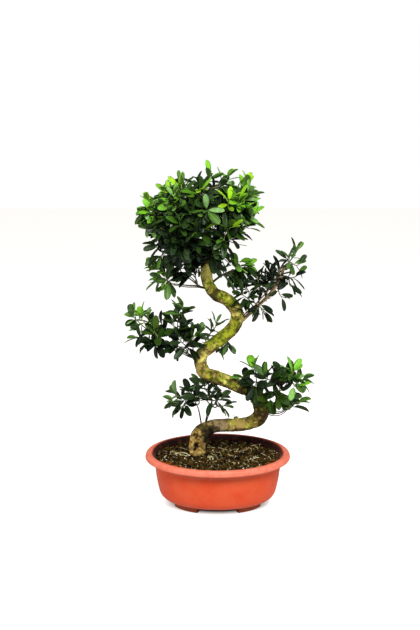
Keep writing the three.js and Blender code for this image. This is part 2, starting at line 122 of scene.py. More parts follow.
def joined(surfaces: list[Surface]) -> Surface:
    """Puts surfaces side by side in one, without fusing them.

    Args:
        surfaces: The surfaces. A quality that one of them lacks is 0 there.

    Returns:
        All of them as one.
    """
    starts = np.cumsum([0] + [len(surface.points) for surface in surfaces[:-1]])
    names = sorted({name for surface in surfaces for name in surface.qualities})
    return Surface(
        np.concatenate([surface.points for surface in surfaces]),
        np.concatenate([surface.quads + start for surface, start in zip(surfaces, starts)]),
        np.concatenate([surface.triangles + start for surface, start in zip(surfaces, starts)]),
        {name: np.concatenate([
            surface.qualities.get(name, np.zeros(len(surface.points))) for surface in surfaces
        ]) for name in names},
    )


def lofted(rings: Array, qualities: dict[str, Array] | None = None) -> Surface:
    """A closed surface through rings, with a point at the middle of each end.

    Each quad joins points j and j + 1 of rings i and i + 1.

    Args:
        rings: Places of the rings' points, (rings, count, 3). Each ring runs anticlockwise
            round the way on to the next ring.
        qualities: Numbers for the rings' points, (rings, count), by name. An end's middle
            takes the mean of its ring.

    Returns:
        The surface, with the two end points last.
    """
    number, count, _ = rings.shape
    points = np.vstack([rings.reshape(-1, 3), rings[0].mean(0), rings[-1].mean(0)])
    here = np.arange(count)
    beside = (here + 1) % count
    ring = np.arange(number - 1)[:, None] * count
    quads = np.stack([ring + here, ring + beside, ring + count + beside, ring + count + here], -1)
    last = (number - 1) * count
    start = np.stack([np.full(count, number * count), beside, here], 1)
    end = np.stack([np.full(count, number * count + 1), last + here, last + beside], 1)
    values = {
        name: np.concatenate([value.ravel(), [value[0].mean(), value[-1].mean()]])
        for name, value in (qualities or {}).items()
    }
    return Surface(points, quads.reshape(-1, 4), np.vstack([start, end]), values)


def repeated(rings: int, sides: int, clouds: Array, qualities: dict[str, Array]) -> Surface:
    """Many lofted surfaces of one make, from the points of each.

    Args:
        rings: Rings of each surface.
        sides: Points in each ring.
        clouds: Their points, (number, rings * sides + 2, 3), with the two end points last.
        qualities: Numbers for all the points, by name.

    Returns:
        The surfaces, joined.
    """
    one = lofted(np.zeros((rings, sides, 3)))
    number, count, _ = clouds.shape
    starts = (np.arange(number) * count)[:, None, None]
    quads = (one.quads + starts).reshape(-1, 4)
    return Surface(clouds.reshape(-1, 3), quads, (one.triangles + starts).reshape(-1, 3), qualities)


def unit(vectors: Array) -> Array:
    """Vectors of the same directions and length 1."""
    return vectors / np.maximum(np.linalg.norm(vectors, axis=-1, keepdims=True), 1e-12)


def smoothstep(low: float, high: float, values: Array) -> Array:
    """A share that eases from 0 at low to 1 at high, by 3t^2 - 2t^3."""
    share = np.clip((values - low) / (high - low), 0, 1)
    return share * share * (3 - 2 * share)


def bell(values: Array, middle: float, width: float) -> Array:
    """A bell: exp(-((value - middle) / width)^2)."""
    return np.exp(-(((values - middle) / width) ** 2))


def skewed(limits: Pair, draws: Array, power: float) -> Array:
    """Values within limits, of which a power makes most of them small."""
    return limits[0] + (limits[1] - limits[0]) * draws**power


def turns(count: int) -> Array:
    """Angles in equal steps once round, from 0."""
    return np.arange(count) / count * 2 * math.pi


def globe(rings: int, sides: int) -> Array:
    """Directions on evenly spaced circles of latitude, from the lowest up, (rings, sides, 3)."""
    latitude = np.linspace(-math.pi / 2, math.pi / 2, rings + 2)[1:-1, None]
    x = np.cos(latitude) * np.cos(turns(sides))
    y = np.cos(latitude) * np.sin(turns(sides))
    return np.stack(np.broadcast_arrays(x, y, np.sin(latitude)), -1)


def lattice_noise(points: Array, cell: float, seed: int) -> Array:
    """Smooth noise: a drawn value at each corner of a cubic lattice, blended between them.

    Args:
        points: Places, (n, 3).
        cell: Edge of the lattice's cubes, in the points' own units.
        seed: Chooses the values.

    Returns:
        Numbers from -1 to 1, (n,).
    """
    drawn = np.random.default_rng(seed).uniform(-1, 1, LATTICE_VALUES)
    place = points / cell
    corner = np.floor(place).astype(np.int64)
    share = place - corner
    share = share * share * (3 - 2 * share)
    total = np.zeros(len(points))
    for step in itertools.product((0, 1), repeat=3):
        x, y, z = ((corner + step) * LATTICE_PRIMES).T
        weights = np.where(np.array(step) == 1, share, 1 - share).prod(1)
        total += weights * drawn[(x ^ y ^ z) % LATTICE_VALUES]
    return total


def layered_noise(points: Array, layers: tuple[Pair, ...], seed: int) -> Array:
    """The sum of lattice noises, each with a height and a cell, and seeds counted up from one."""
    return sum(height * lattice_noise(points, cell, seed + k) for k, (height, cell) in enumerate(layers))


def catmull_rom(stations: Array, shares: Array) -> Array:
    """Points on the smooth curve through stations, by the uniform Catmull-Rom cubic.

    Each span's cubic passes its two stations with slopes of half the way between their
    neighbours. Past an end the neighbour is the end's own mirror image.

    Args:
        stations: The stations, (n, k).
        shares: Places along the curve, 0 to 1, each span the same share.

    Returns:
        The points, (len(shares), k).
    """
    place = shares * (len(stations) - 1)
    span = np.minimum(place.astype(int), len(stations) - 2)
    t = (place - span)[:, None]
    padded = np.vstack([2 * stations[0] - stations[1], stations, 2 * stations[-1] - stations[-2]])
    p0, p1, p2, p3 = (padded[span + k] for k in range(4))
    linear = 2 * p1 + (p2 - p0) * t
    square = (2 * p0 - 5 * p1 + 4 * p2 - p3) * t**2
    cube = (3 * p1 - p0 - 3 * p2 + p3) * t**3
    return 0.5 * (linear + square + cube)


def tube(path: Array, radii: Array, sides: int, relief: Array | None = None) -> Surface:
    """A closed tube: circles of the given radii, square to the path.

    Each circle's first axis is the part of one fixed direction that is square to the path,
    and its second the cross product of the path with it.

    Args:
        path: Centres of the circles, (n, 3).
        radii: Their radii, (n,).
        sides: Points in each circle.
        relief: Factors on the radii, (n, sides), or None.

    Returns:
        The tube, with the quality "along" (0 to 1).
    """
    tangents = unit(np.gradient(path, axis=0))
    fixed = np.eye(3)[np.argmin(np.abs(tangents).max(0))]
    first = unit(fixed - (tangents @ fixed)[:, None] * tangents)
    second = np.cross(tangents, first)
    angle = turns(sides)
    reach = radii[:, None] * (np.ones((1, sides)) if relief is None else relief)
    rings = (
        path[:, None]
        + reach[..., None] * np.cos(angle)[None, :, None] * first[:, None]
        + reach[..., None] * np.sin(angle)[None, :, None] * second[:, None]
    )
    along = np.repeat(np.linspace(0, 1, len(path))[:, None], sides, 1)
    return lofted(rings, {"along": along})


def point_normals(surface: Surface) -> Array:
    """Outward directions at the points: the sum of the directions of their quads."""
    corners = surface.points[surface.quads]
    facing = np.cross(corners[:, 2] - corners[:, 0], corners[:, 3] - corners[:, 1])
    normals = np.zeros_like(surface.points)
    for k in range(4):
        np.add.at(normals, surface.quads[:, k], facing)
    return unit(normals)


def in_scene(name: str, data: bpy.types.ID) -> Object:
    """Makes an object of some data, in the scene."""
    thing = bpy.data.objects.new(name, data)
    bpy.context.scene.collection.objects.link(thing)
    return thing


def make_object(name: str, surface: Surface) -> Object:
    """Turns a surface into an object in metres at the origin, with smooth shading.

    Args:
        name: Name of the object and its mesh.
        surface: The surface. Its qualities become point attributes.

    Returns:
        The object, in the scene.
    """
    mesh = bpy.data.meshes.new(name)
    corners = np.concatenate([surface.quads.ravel(), surface.triangles.ravel()]).astype(np.int32)
    sizes = np.concatenate([np.full(len(surface.quads), 4), np.full(len(surface.triangles), 3)])
    starts = np.concatenate([[0], np.cumsum(sizes)[:-1]]).astype(np.int32)
    mesh.vertices.add(len(surface.points))
    mesh.vertices.foreach_set("co", (surface.points * MM).astype(np.float32).ravel())
    mesh.loops.add(len(corners))
    mesh.loops.foreach_set("vertex_index", corners)
    mesh.polygons.add(len(sizes))
    mesh.polygons.foreach_set("loop_start", starts)
    mesh.polygons.foreach_set("use_smooth", np.ones(len(sizes), bool))
    for quality, values in surface.qualities.items():
        attribute = mesh.attributes.new(quality, "FLOAT", "POINT")
        attribute.data.foreach_set("value", values.astype(np.float32))
    mesh.update(calc_edges=True)
    mesh.validate()
    return in_scene(name, mesh)


def fused(surface: Surface, cell: float, rounds: int) -> Surface:
    """Fuses overlapping closed surfaces into one skin, as bark grows over a joint.

    A voxel remesh keeps the outside of all of them, and a smoothing evens its steps.

    Args:
        surface: The surfaces, joined.
        cell: Edge of a voxel, in millimetres.
        rounds: Number of smoothings.

    Returns:
        The skin, of quads alone, without qualities.
    """
    source = make_object("fusing", Surface(surface.points, surface.quads, surface.triangles))
    remesh = source.modifiers.new("fuse", "REMESH")
    remesh.mode = "VOXEL"
    remesh.voxel_size = cell * MM
    even = source.modifiers.new("even", "SMOOTH")
    even.factor = 0.5
    even.iterations = rounds
    mesh = source.evaluated_get(bpy.context.evaluated_depsgraph_get()).to_mesh()
    points = np.empty(len(mesh.vertices) * 3, np.float32)
    mesh.vertices.foreach_get("co", points)
    corners = np.empty(len(mesh.loops), np.int32)
    mesh.loops.foreach_get("vertex_index", corners)
    bpy.data.objects.remove(source)
    return Surface(points.reshape(-1, 3).astype(float) / MM, corners.reshape(-1, 4).astype(int))


def add_piece(name: str, surface: Surface, finish: Material,
              nodes: tuple[str, ...] = ()) -> Object:
    """Makes a finished piece of the object, which rides on its one body.

    Args:
        name: Name of the piece.
        surface: Its surface, in millimetres.
        finish: Its material.
        nodes: The CAD nodes that the piece stands for.

    Returns:
        The object.
    """
    piece = make_object(name, surface)
    piece.data.materials.append(finish)
    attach(piece, BODY)
    if nodes:
        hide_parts(*nodes)
    log.info("%s: %d triangles", name, 2 * len(surface.quads) + len(surface.triangles))
    return piece


# Finishes


@dataclass(frozen=True)
class Shade:
    """A colour as its three parts of light, 0 to 1."""

    red: float
    green: float
    blue: float

    def full(self) -> Four:
        """Returns the colour as an opaque value for a socket."""
        return (self.red, self.green, self.blue, 1.0)


@dataclass(frozen=True)
class Patches:
    """Noise with lumps of cell millimetres, eased from start at low to end at high."""

    cell: float
    detail: float
    low: float = 0.3
    high: float = 0.7
    start: float = 0.0
    end: float = 1.0


class Nodes:
    """Short calls that add shader nodes to a tree."""

    def __init__(self, tree: NodeTree) -> None:
        """Keeps the tree that the nodes go to."""
        self.tree = tree

    def feed(self, node: bpy.types.Node, inputs: dict[str | int, object]) -> None:
        """Links sockets to a node's inputs, and sets those that take a plain value."""
        for key, value in inputs.items():
            if isinstance(value, bpy.types.NodeSocket):
                self.tree.links.new(value, node.inputs[key])
            else:
                node.inputs[key].default_value = value

    def node(self, kind: str, inputs: dict[str | int, object] | None = None,
             **settings: object) -> bpy.types.Node:
        """Adds a node.

        Args:
            kind: Blender's name of the node's type.
            inputs: What each input takes, by name or number: a socket to link, or a value.
            settings: Properties of the node.

        Returns:
            The node.
        """
        node = self.tree.nodes.new(kind)
        for key, value in settings.items():
            setattr(node, key, value)
        self.feed(node, inputs or {})
        return node

    def math(self, operation: str, *values: Socket | float) -> Socket:
        """One sum on numbers."""
        return self.node("ShaderNodeMath", dict(enumerate(values)), operation=operation).outputs[0]

    def times(self, first: Socket | float, second: Socket | float) -> Socket:
        """The product of two numbers."""
        return self.math("MULTIPLY", first, second)

    def spread(self, value: Socket, low: Socket | float, high: Socket | float, start: float = 0.0,
               end: float = 1.0) -> Socket:
        """A value moved from the range low to high into start to end, eased and clamped."""
        inputs = {"Value": value, "From Min": low, "From Max": high, "To Min": start, "To Max": end}
        return self.node("ShaderNodeMapRange", inputs, interpolation_type="SMOOTHSTEP").outputs[0]


class Recipe(Nodes):
    """Builds one material: a Principled shader, and short calls for the nodes before it."""

    def __init__(self, name: str) -> None:
        """Makes the material with its shader.

        Args:
            name: Name of the material.
        """
        self.material = bpy.data.materials.new(name)
        self.material.use_nodes = True
        super().__init__(self.material.node_tree)
        self.shader = self.tree.nodes["Principled BSDF"]
        self.place = self.node("ShaderNodeTexCoord").outputs["Object"]

    def quality(self, name: str) -> Socket:
        """The value of one of the piece's own qualities."""
        return self.node("ShaderNodeAttribute", attribute_name=name).outputs["Fac"]

    def noise(self, cell: float, detail: float, place: Socket | None = None) -> Socket:
        """Noise from 0 to 1 with lumps of about cell millimetres."""
        inputs = {"Vector": place or self.place, "Scale": 1 / (cell * MM), "Detail": detail}
        return self.node("ShaderNodeTexNoise", inputs).outputs["Fac"]

    def stretched(self, x: float, y: float, z: float) -> Socket:
        """Object coordinates stretched by three factors, for streaks."""
        return self.node("ShaderNodeMapping", {"Vector": self.place, "Scale": (x, y, z)}).outputs[0]

    def eased(self, value: Socket, patches: Patches) -> Socket:
        """A value eased by the range of some patches."""
        return self.spread(value, patches.low, patches.high, patches.start, patches.end)

    def patched(self, patches: Patches) -> Socket:
        """The mask or number that patches of noise give."""
        return self.eased(self.noise(patches.cell, patches.detail), patches)

    def leaning(self, quality: str, reach: float, patches: Patches) -> Socket:
        """Patches that grow with a quality, whose noise gains reach times (the quality - 0.5)."""
        pushed = self.times(self.math("SUBTRACT", self.quality(quality), 0.5), reach)
        return self.eased(self.math("ADD", self.noise(patches.cell, patches.detail), pushed), patches)

    def mix(self, share: Socket, first: Socket | Shade, second: Socket | Shade) -> Socket:
        """Two colours mixed by a share."""
        colours = [value.full() if isinstance(value, Shade) else value for value in (first, second)]
        inputs = {0: share, 6: colours[0], 7: colours[1]}
        return self.node("ShaderNodeMix", inputs, data_type="RGBA").outputs[2]

    def spotted(self, colour: Socket | Shade, patches: Patches, spots: Shade) -> Socket:
        """A colour with patches of another."""
        return self.mix(self.patched(patches), colour, spots)

    def mottled(self, mottle: NodeTree, **inputs: float) -> Socket:
        """The mask of the shared group for uneven colour."""
        group = self.node("ShaderNodeGroup", {"Place": self.place, **inputs}, node_tree=mottle)
        return group.outputs["Mask"]

    def bump(self, height: Socket, distance: float, strength: float,
             before: Socket | None = None) -> Socket:
        """A bump of at most distance millimetres, on top of another if one is given."""
        under = {"Normal": before} if before else {}
        inputs = {"Height": height, "Distance": distance * MM, "Strength": strength, **under}
        return self.node("ShaderNodeBump", inputs).outputs[0]

    def finished(self, **inputs: Socket | float | Four) -> Material:
        """Feeds the shader's inputs, named with _ for each space, and returns the material."""
        self.feed(self.shader, {key.replace("_", " "): value for key, value in inputs.items()})
        return self.material


def mottle_group() -> NodeTree:
    """Uneven colour: broad blotches with a fine grain in them, eased to a mask.

    Returns:
        The group. Its inputs are Place, Blotch and Grain (cells per metre), Balance (the
        value that turns to 1/2) and Softness, and its output is Mask.
    """
    tree = bpy.data.node_groups.new("mottle", "ShaderNodeTree")
    tree.interface.new_socket("Place", in_out="INPUT", socket_type="NodeSocketVector")
    firsts = {"Blotch": 40.0, "Grain": 300.0, "Balance": 0.5, "Softness": 0.12}
    for name, value in firsts.items():
        socket = tree.interface.new_socket(name, in_out="INPUT", socket_type="NodeSocketFloat")
        socket.default_value = value
    tree.interface.new_socket("Mask", in_out="OUTPUT", socket_type="NodeSocketFloat")
    nodes = Nodes(tree)
    entry = nodes.node("NodeGroupInput").outputs
    blotch, grain = (
        nodes.node("ShaderNodeTexNoise", {
            "Vector": entry["Place"], "Scale": entry[size], "Detail": detail,
        }).outputs["Fac"]
        for size, detail in (("Blotch", 4), ("Grain", 3))
    )
    share = 0.25
    centred = nodes.math("SUBTRACT", nodes.math("MULTIPLY_ADD", grain, share, blotch), share / 2)
    low, high = (
        nodes.math(operation, entry["Balance"], entry["Softness"]) for operation in ("SUBTRACT", "ADD")
    )
    nodes.node("NodeGroupOutput", {"Mask": nodes.spread(centred, low, high)})
    return tree


@dataclass(frozen=True)
class PotFinish:
    """Matt orange plastic: faint streaks, light specks, a painted highlight in patches on the rim's top, and
    an inner wall darkened to near black.
    """

    body: Shade = Shade(0.62, 0.056, 0.010)
    faded: Shade = Shade(0.65, 0.086, 0.026)
    dust: Shade = Shade(0.72, 0.215, 0.14)
    stain: Shade = Shade(0.007, 0.0012, 0.0012)
    # Painted shade of the feet and of the wall's bottom.
    foot: Shade = Shade(0.36, 0.075, 0.028)
    speckle: Patches = Patches(1.1, 1, 0.62, 0.75, end=0.3)
    dusty: Patches = Patches(14.0, 3, start=0.45, end=0.85)
    soaked: Patches = Patches(9.0, 4, 0.2, 0.6, start=0.9)
    roughness: Patches = Patches(6.0, 3, start=0.42, end=0.6)
    soiled_roughness: float = 0.95

    def build(self, mottle: NodeTree) -> Material:
        """Returns the material. It reads the pot's qualities "inside", "lip" and "low"."""
        recipe = Recipe("pot_plastic")
        streaks = recipe.noise(3.0, 2, recipe.stretched(1, 1, 0.06))
        broad = recipe.mottled(mottle, Blotch=22.0, Grain=700.0, Softness=0.2)
        colour = recipe.mix(broad, self.body, self.faded)
        colour = recipe.mix(recipe.spread(streaks, 0.52, 0.72, 0.0, 0.5), colour, self.faded)
        colour = recipe.spotted(colour, self.speckle, self.dust)
        # Painted highlight: the rim's top is laid paler in patches, as light falls on it from above.
        dusty = recipe.times(recipe.quality("lip"), recipe.patched(self.dusty))
        colour = recipe.mix(dusty, colour, self.dust)
        # The inner wall is darkened to near black in patches, starting nearer the rim at the rear.
        darkened = recipe.times(recipe.quality("inside"), recipe.patched(self.soaked))
        colour = recipe.mix(darkened, colour, self.stain)
        # Painted shade: the feet and the bottom of the wall are darkened, as they stand in shadow under the
        # pot.
        colour = recipe.mix(recipe.quality("low"), colour, self.foot)
        rough = {0: recipe.quality("inside"), 2: recipe.patched(self.roughness), 3: self.soiled_roughness}
        grain = recipe.bump(recipe.noise(0.8, 2), 0.12, 0.5)
        return recipe.finished(
            Base_Color=colour, Roughness=recipe.node("ShaderNodeMix", rough).outputs[0],
            Normal=recipe.bump(streaks, 0.15, 0.3, grain), Specular_IOR_Level=0.2,
            Sheen_Weight=0.34, Sheen_Roughness=0.4, Sheen_Tint=self.dust.full(),
        )


@dataclass(frozen=True)
class SoilFinish:
    """Black damp peat with brown clods, a mossy tinge and pale specks."""

    damp: Shade = Shade(0.0015, 0.0009, 0.0004)
    brown: Shade = Shade(0.033, 0.014, 0.002)
    tan: Shade = Shade(0.40, 0.27, 0.09)
    moss: Shade = Shade(0.055, 0.035, 0.002)
    # Painted reflection of the orange pot on the peat's front edge.
    rust: Shade = Shade(0.20, 0.042, 0.004)
    mossy: Patches = Patches(9.0, 4, 0.54, 0.6, end=0.85)
    rusty: Patches = Patches(7.0, 3, 0.4, 0.6)
    specks: Patches = Patches(2.4, 2, 0.61, 0.70)
    roughness: Patches = Patches(5.0, 3, start=0.75, end=0.98)

    def build(self, mottle: NodeTree) -> Material:
        """Returns the material. It reads the soil's quality "edge"."""
        recipe = Recipe("peat_soil")
        broad = recipe.mottled(mottle, Blotch=90.0, Grain=500.0, Balance=0.53, Softness=0.05)
        colour = recipe.mix(broad, self.damp, self.brown)
        colour = recipe.spotted(colour, self.mossy, self.moss)
        # Painted reflection: the peat's front edge is tinged orange in patches, as if lit by the pot's wall.
        colour = recipe.mix(recipe.leaning("edge", 0.5, self.rusty), colour, self.rust)
        return recipe.finished(
            Base_Color=recipe.spotted(colour, self.specks, self.tan),
            Roughness=recipe.patched(self.roughness),
            Normal=recipe.bump(recipe.noise(2.6, 5), 1.6, 0.9), Specular_IOR_Level=0.05,
        )


@dataclass(frozen=True)
class CrumbFinish:
    """Crumbs, chips and fibres on the soil, each between two colours by its tint."""

    name: str
    dark: Shade
    pale: Shade
    roughness: float = 0.85
    blotches: Patches = Patches(2.0, 3, 0.35, 0.65, end=0.45)

    def build(self) -> Material:
        """Returns the material. It reads the quality "tint" of each crumb."""
        recipe = Recipe(self.name)
        colour = recipe.mix(recipe.quality("tint"), self.dark, self.pale)
        rough = Patches(1.5, 2, start=self.roughness - 0.1, end=self.roughness + 0.05)
        return recipe.finished(
            Base_Color=recipe.spotted(colour, self.blotches, self.dark), Roughness=recipe.patched(rough),
            Normal=recipe.bump(recipe.noise(0.7, 3), 0.35, 0.8), Specular_IOR_Level=0.08,
        )


@dataclass(frozen=True)
class BarkFinish:
    """Smooth ficus bark: tan and grey, with green algae, brown blotches, leaf scars, painted highlights and
    painted shade.
    """

    tan: Shade = Shade(0.35, 0.245, 0.058)
    grey: Shade = Shade(0.22, 0.155, 0.082)
    algae: Shade = Shade(0.29, 0.32, 0.012)
    moss: Shade = Shade(0.085, 0.11, 0.007)
    brown: Shade = Shade(0.036, 0.022, 0.006)
    sunlit: Shade = Shade(0.60, 0.55, 0.12)
    sapwood: Shade = Shade(0.48, 0.34, 0.10)
    rot: Shade = Shade(0.17, 0.092, 0.018)
    pit: Shade = Shade(0.005, 0.0022, 0.0010)
    stem: Shade = Shade(0.42, 0.29, 0.16)
    shaded: Shade = Shade(0.018, 0.014, 0.008)
    mossy: Patches = Patches(13.0, 5, 0.42, 0.58)
    bleached: Patches = Patches(11.0, 4, 0.46, 0.62)
    blotched: Patches = Patches(10.0, 6, 0.36, 0.56)
    grain: Patches = Patches(2.4, 5, 0.52, 0.66, end=0.55)
    decay: Patches = Patches(9.0, 5, 0.37, 0.57)
    crust: Patches = Patches(4.0, 4, 0.53, 0.66, end=0.8)
    streaks: Patches = Patches(4.0, 4, 0.5, 0.64, end=0.6)
    roughness: Patches = Patches(7.0, 3, start=0.55, end=0.8)

    def build(self, mottle: NodeTree) -> Material:
        """Returns the material.

        It reads the trunk's qualities "green", "pale", "dull", "dark", "scar", "sawn",
        "hollow", "limb" and "tone".
        """
        recipe = Recipe("ficus_bark")
        quality = recipe.quality
        broad = recipe.mottled(mottle, Blotch=70.0, Grain=420.0, Softness=0.1)
        green = recipe.mix(broad, self.algae, self.moss)
        # The dark quality lays brown blotches and also painted shade where the skin faces down.
        blotch = recipe.times(recipe.leaning("dark", 0.55, self.blotched), 0.9)
        crust = recipe.spotted(self.sapwood, self.decay, self.rot)
        limb = recipe.mix(quality("tone"), self.shaded, self.stem)
        colour = recipe.mix(quality("dull"), self.tan, self.grey)
        colour = recipe.mix(recipe.leaning("green", 0.4, self.mossy), colour, green)
        # Painted highlight: where pale is high the bark takes the sunlit colour.
        colour = recipe.mix(recipe.leaning("pale", 0.4, self.bleached), colour, self.sunlit)
        colour = recipe.mix(blotch, colour, self.brown)
        colour = recipe.spotted(colour, self.grain, self.brown)
        colour = recipe.mix(recipe.times(quality("scar"), 0.8), colour, self.brown)
        colour = recipe.mix(quality("sawn"), colour, recipe.spotted(crust, self.crust, self.brown))
        # Dark pits of the sawn face, and painted shade in the crotch behind the heel.
        colour = recipe.mix(quality("hollow"), colour, self.pit)
        colour = recipe.mix(quality("limb"), colour, recipe.spotted(limb, self.streaks, self.brown))
        fine = recipe.bump(recipe.noise(1.6, 4), 0.6, 0.8)
        return recipe.finished(
            Base_Color=colour, Roughness=recipe.patched(self.roughness),
            Normal=recipe.bump(blotch, 0.5, 0.6, fine), Specular_IOR_Level=0.1,
        )


@dataclass(frozen=True)
class TwigFinish:
    """Thin shoots: tan at the root, green towards a growing tip."""

    old: Shade = Shade(0.045, 0.035, 0.018)
    pale: Shade = Shade(0.46, 0.44, 0.20)
    young: Shade = Shade(0.24, 0.42, 0.05)
    specks: Patches = Patches(5.0, 3, 0.5, 0.66, end=0.6)
    roughness: Patches = Patches(3.0, 2, start=0.5, end=0.7)

    def build(self) -> Material:
        """Returns the material. It reads the twigs' qualities "youth" and "tint"."""
        recipe = Recipe("ficus_twig")
        colour = recipe.mix(recipe.quality("tint"), self.old, self.pale)
        colour = recipe.spotted(colour, self.specks, self.old)
        return recipe.finished(
            Base_Color=recipe.mix(recipe.quality("youth"), colour, self.young),
            Roughness=recipe.patched(self.roughness),
            Normal=recipe.bump(recipe.noise(1.2, 3), 0.3, 0.6),
        )


@dataclass(frozen=True)
class LeafFinish:
    """Thick waxy leaf: dark green when old, bright when young, with a pale midrib, a painted highlight along
    its edges and a painted gloss on some leaves.
    """

    deep: Shade = Shade(0.0018, 0.0065, 0.0025)
    mature: Shade = Shade(0.175, 0.395, 0.050)
    glazed: Shade = Shade(0.30, 0.46, 0.24)
    fresh: Shade = Shade(0.18, 0.50, 0.018)
    newest: Shade = Shade(0.35, 0.66, 0.010)
    # Colour of the midrib and veins, and of the painted highlight along the edges.
    rib: Shade = Shade(0.20, 0.38, 0.08)
    under: Shade = Shade(0.075, 0.135, 0.050)
    blotches: Patches = Patches(9.0, 3, 0.35, 0.7, end=0.3)
    roughness: Patches = Patches(12.0, 3, start=0.30, end=0.46)
    veins: float = 9.0
    slant: float = 0.55
    dimmest: float = 0.9

    def build(self) -> Material:
        """Returns the material.

        It reads the leaves' qualities "along" and "across" (0 to 1 over the blade), "under"
        (1 on the lower face), "youth", "tint" and "shade".
        """
        recipe = Recipe("ficus_leaf")
        tint, youth, under = (recipe.quality(name) for name in ("tint", "youth", "under"))
        base = recipe.mix(tint, self.deep, self.mature)
        # Painted gloss: the leaves of highest tint are laid paler grey-green, as if reflecting the sky.
        base = recipe.mix(recipe.spread(tint, 0.8, 1.0, 0.0, 0.45), base, self.glazed)
        base = recipe.mix(recipe.spread(youth, 0.08, 0.6), base, self.fresh)
        base = recipe.mix(recipe.spread(youth, 0.55, 1.0), base, self.newest)
        base = recipe.spotted(base, self.blotches, self.deep)
        beside = recipe.math("ABSOLUTE", recipe.math("SUBTRACT", recipe.quality("across"), 0.5))
        slanted = recipe.math("SUBTRACT", recipe.quality("along"), recipe.times(beside, self.slant))
        wave = recipe.math("SINE", recipe.times(slanted, self.veins * 2 * math.pi))
        rib = recipe.spread(beside, 0.0, 0.06, 0.7, 0.0)
        lines = recipe.math("MAXIMUM", rib, recipe.spread(wave, 0.75, 1.0, 0.0, 0.16))
        # Painted highlight: a pale line along the blade's edges.
        rim = recipe.spread(beside, 0.43, 0.5, 0.0, 0.35)
        base = recipe.mix(recipe.times(recipe.math("MAXIMUM", lines, rim), 0.7), base, self.rib)
        base = recipe.mix(recipe.times(under, 0.7), base, self.under)
        dimmed = recipe.spread(recipe.quality("shade"), 0.0, 1.0, 0.0, self.dimmest)
        cells = recipe.bump(recipe.noise(1.4, 2), 0.08, 0.5)
        return recipe.finished(
            Base_Color=recipe.mix(dimmed, base, self.deep),
            Roughness=recipe.math("ADD", recipe.patched(self.roughness), recipe.times(under, 0.25)),
            Normal=recipe.bump(lines, 0.25, 0.7, cells),
            Specular_IOR_Level=0.15, Coat_Weight=0.05, Coat_Roughness=0.2,
        )


@dataclass(frozen=True)
class FloorFinish:
    """Smooth near-white studio floor, which glows for the camera so that it has no horizon.

    Under the pot, inside an oval of the given half axes in metres, a shadow is painted: the floor is dull
    and dark there, and its glow fades.
    """

    colour: Shade = Shade(0.6, 0.6, 0.6)
    contact: Shade = Shade(0.14, 0.075, 0.045)
    warm: Shade = Shade(1.0, 0.97, 0.93)
    glow: float = 0.86
    shaded: Pair = (0.132, 0.076)

    def build(self) -> Material:
        """Returns the material."""
        recipe = Recipe("studio_floor")
        place = recipe.stretched(1 / self.shaded[0], 1 / self.shaded[1], 0.0)
        outness = recipe.node("ShaderNodeVectorMath", {0: place}, operation="LENGTH").outputs["Value"]
        # Painted shadow: clear is 0 under the pot, where the floor turns dark and its glow fades.
        clear = recipe.spread(outness, 0.66, 1.06)
        seen = recipe.node("ShaderNodeLightPath").outputs["Is Camera Ray"]
        return recipe.finished(
            Base_Color=recipe.mix(clear, self.contact, self.colour), Roughness=0.9,
            Specular_IOR_Level=0.1, Emission_Color=self.warm.full(),
            Emission_Strength=recipe.times(seen, recipe.times(clear, self.glow)),
        )


# Pot and soil


@dataclass(frozen=True)
class Profile:
    """A line of quadratic curves in (inset from the rim's oval, height)."""

    start: Pair
    curves: tuple[Four, ...]

    def points(self, steps: int) -> Array:
        """Points along the line: (1-t)^2 start + 2t(1-t) control + t^2 end for each curve.

        Args:
            steps: Points for each curve.

        Returns:
            The points, (len(curves) * steps + 1, 2).
        """
        t = (np.arange(steps) + 1)[:, None] / steps
        here = np.array(self.start, float)
        rows = [here[None]]
        for curve in self.curves:
            control, end = np.array(curve[:2]), np.array(curve[2:])
            rows.append((1 - t) ** 2 * here + 2 * t * (1 - t) * control + t**2 * end)
            here = end
        return np.concatenate(rows)


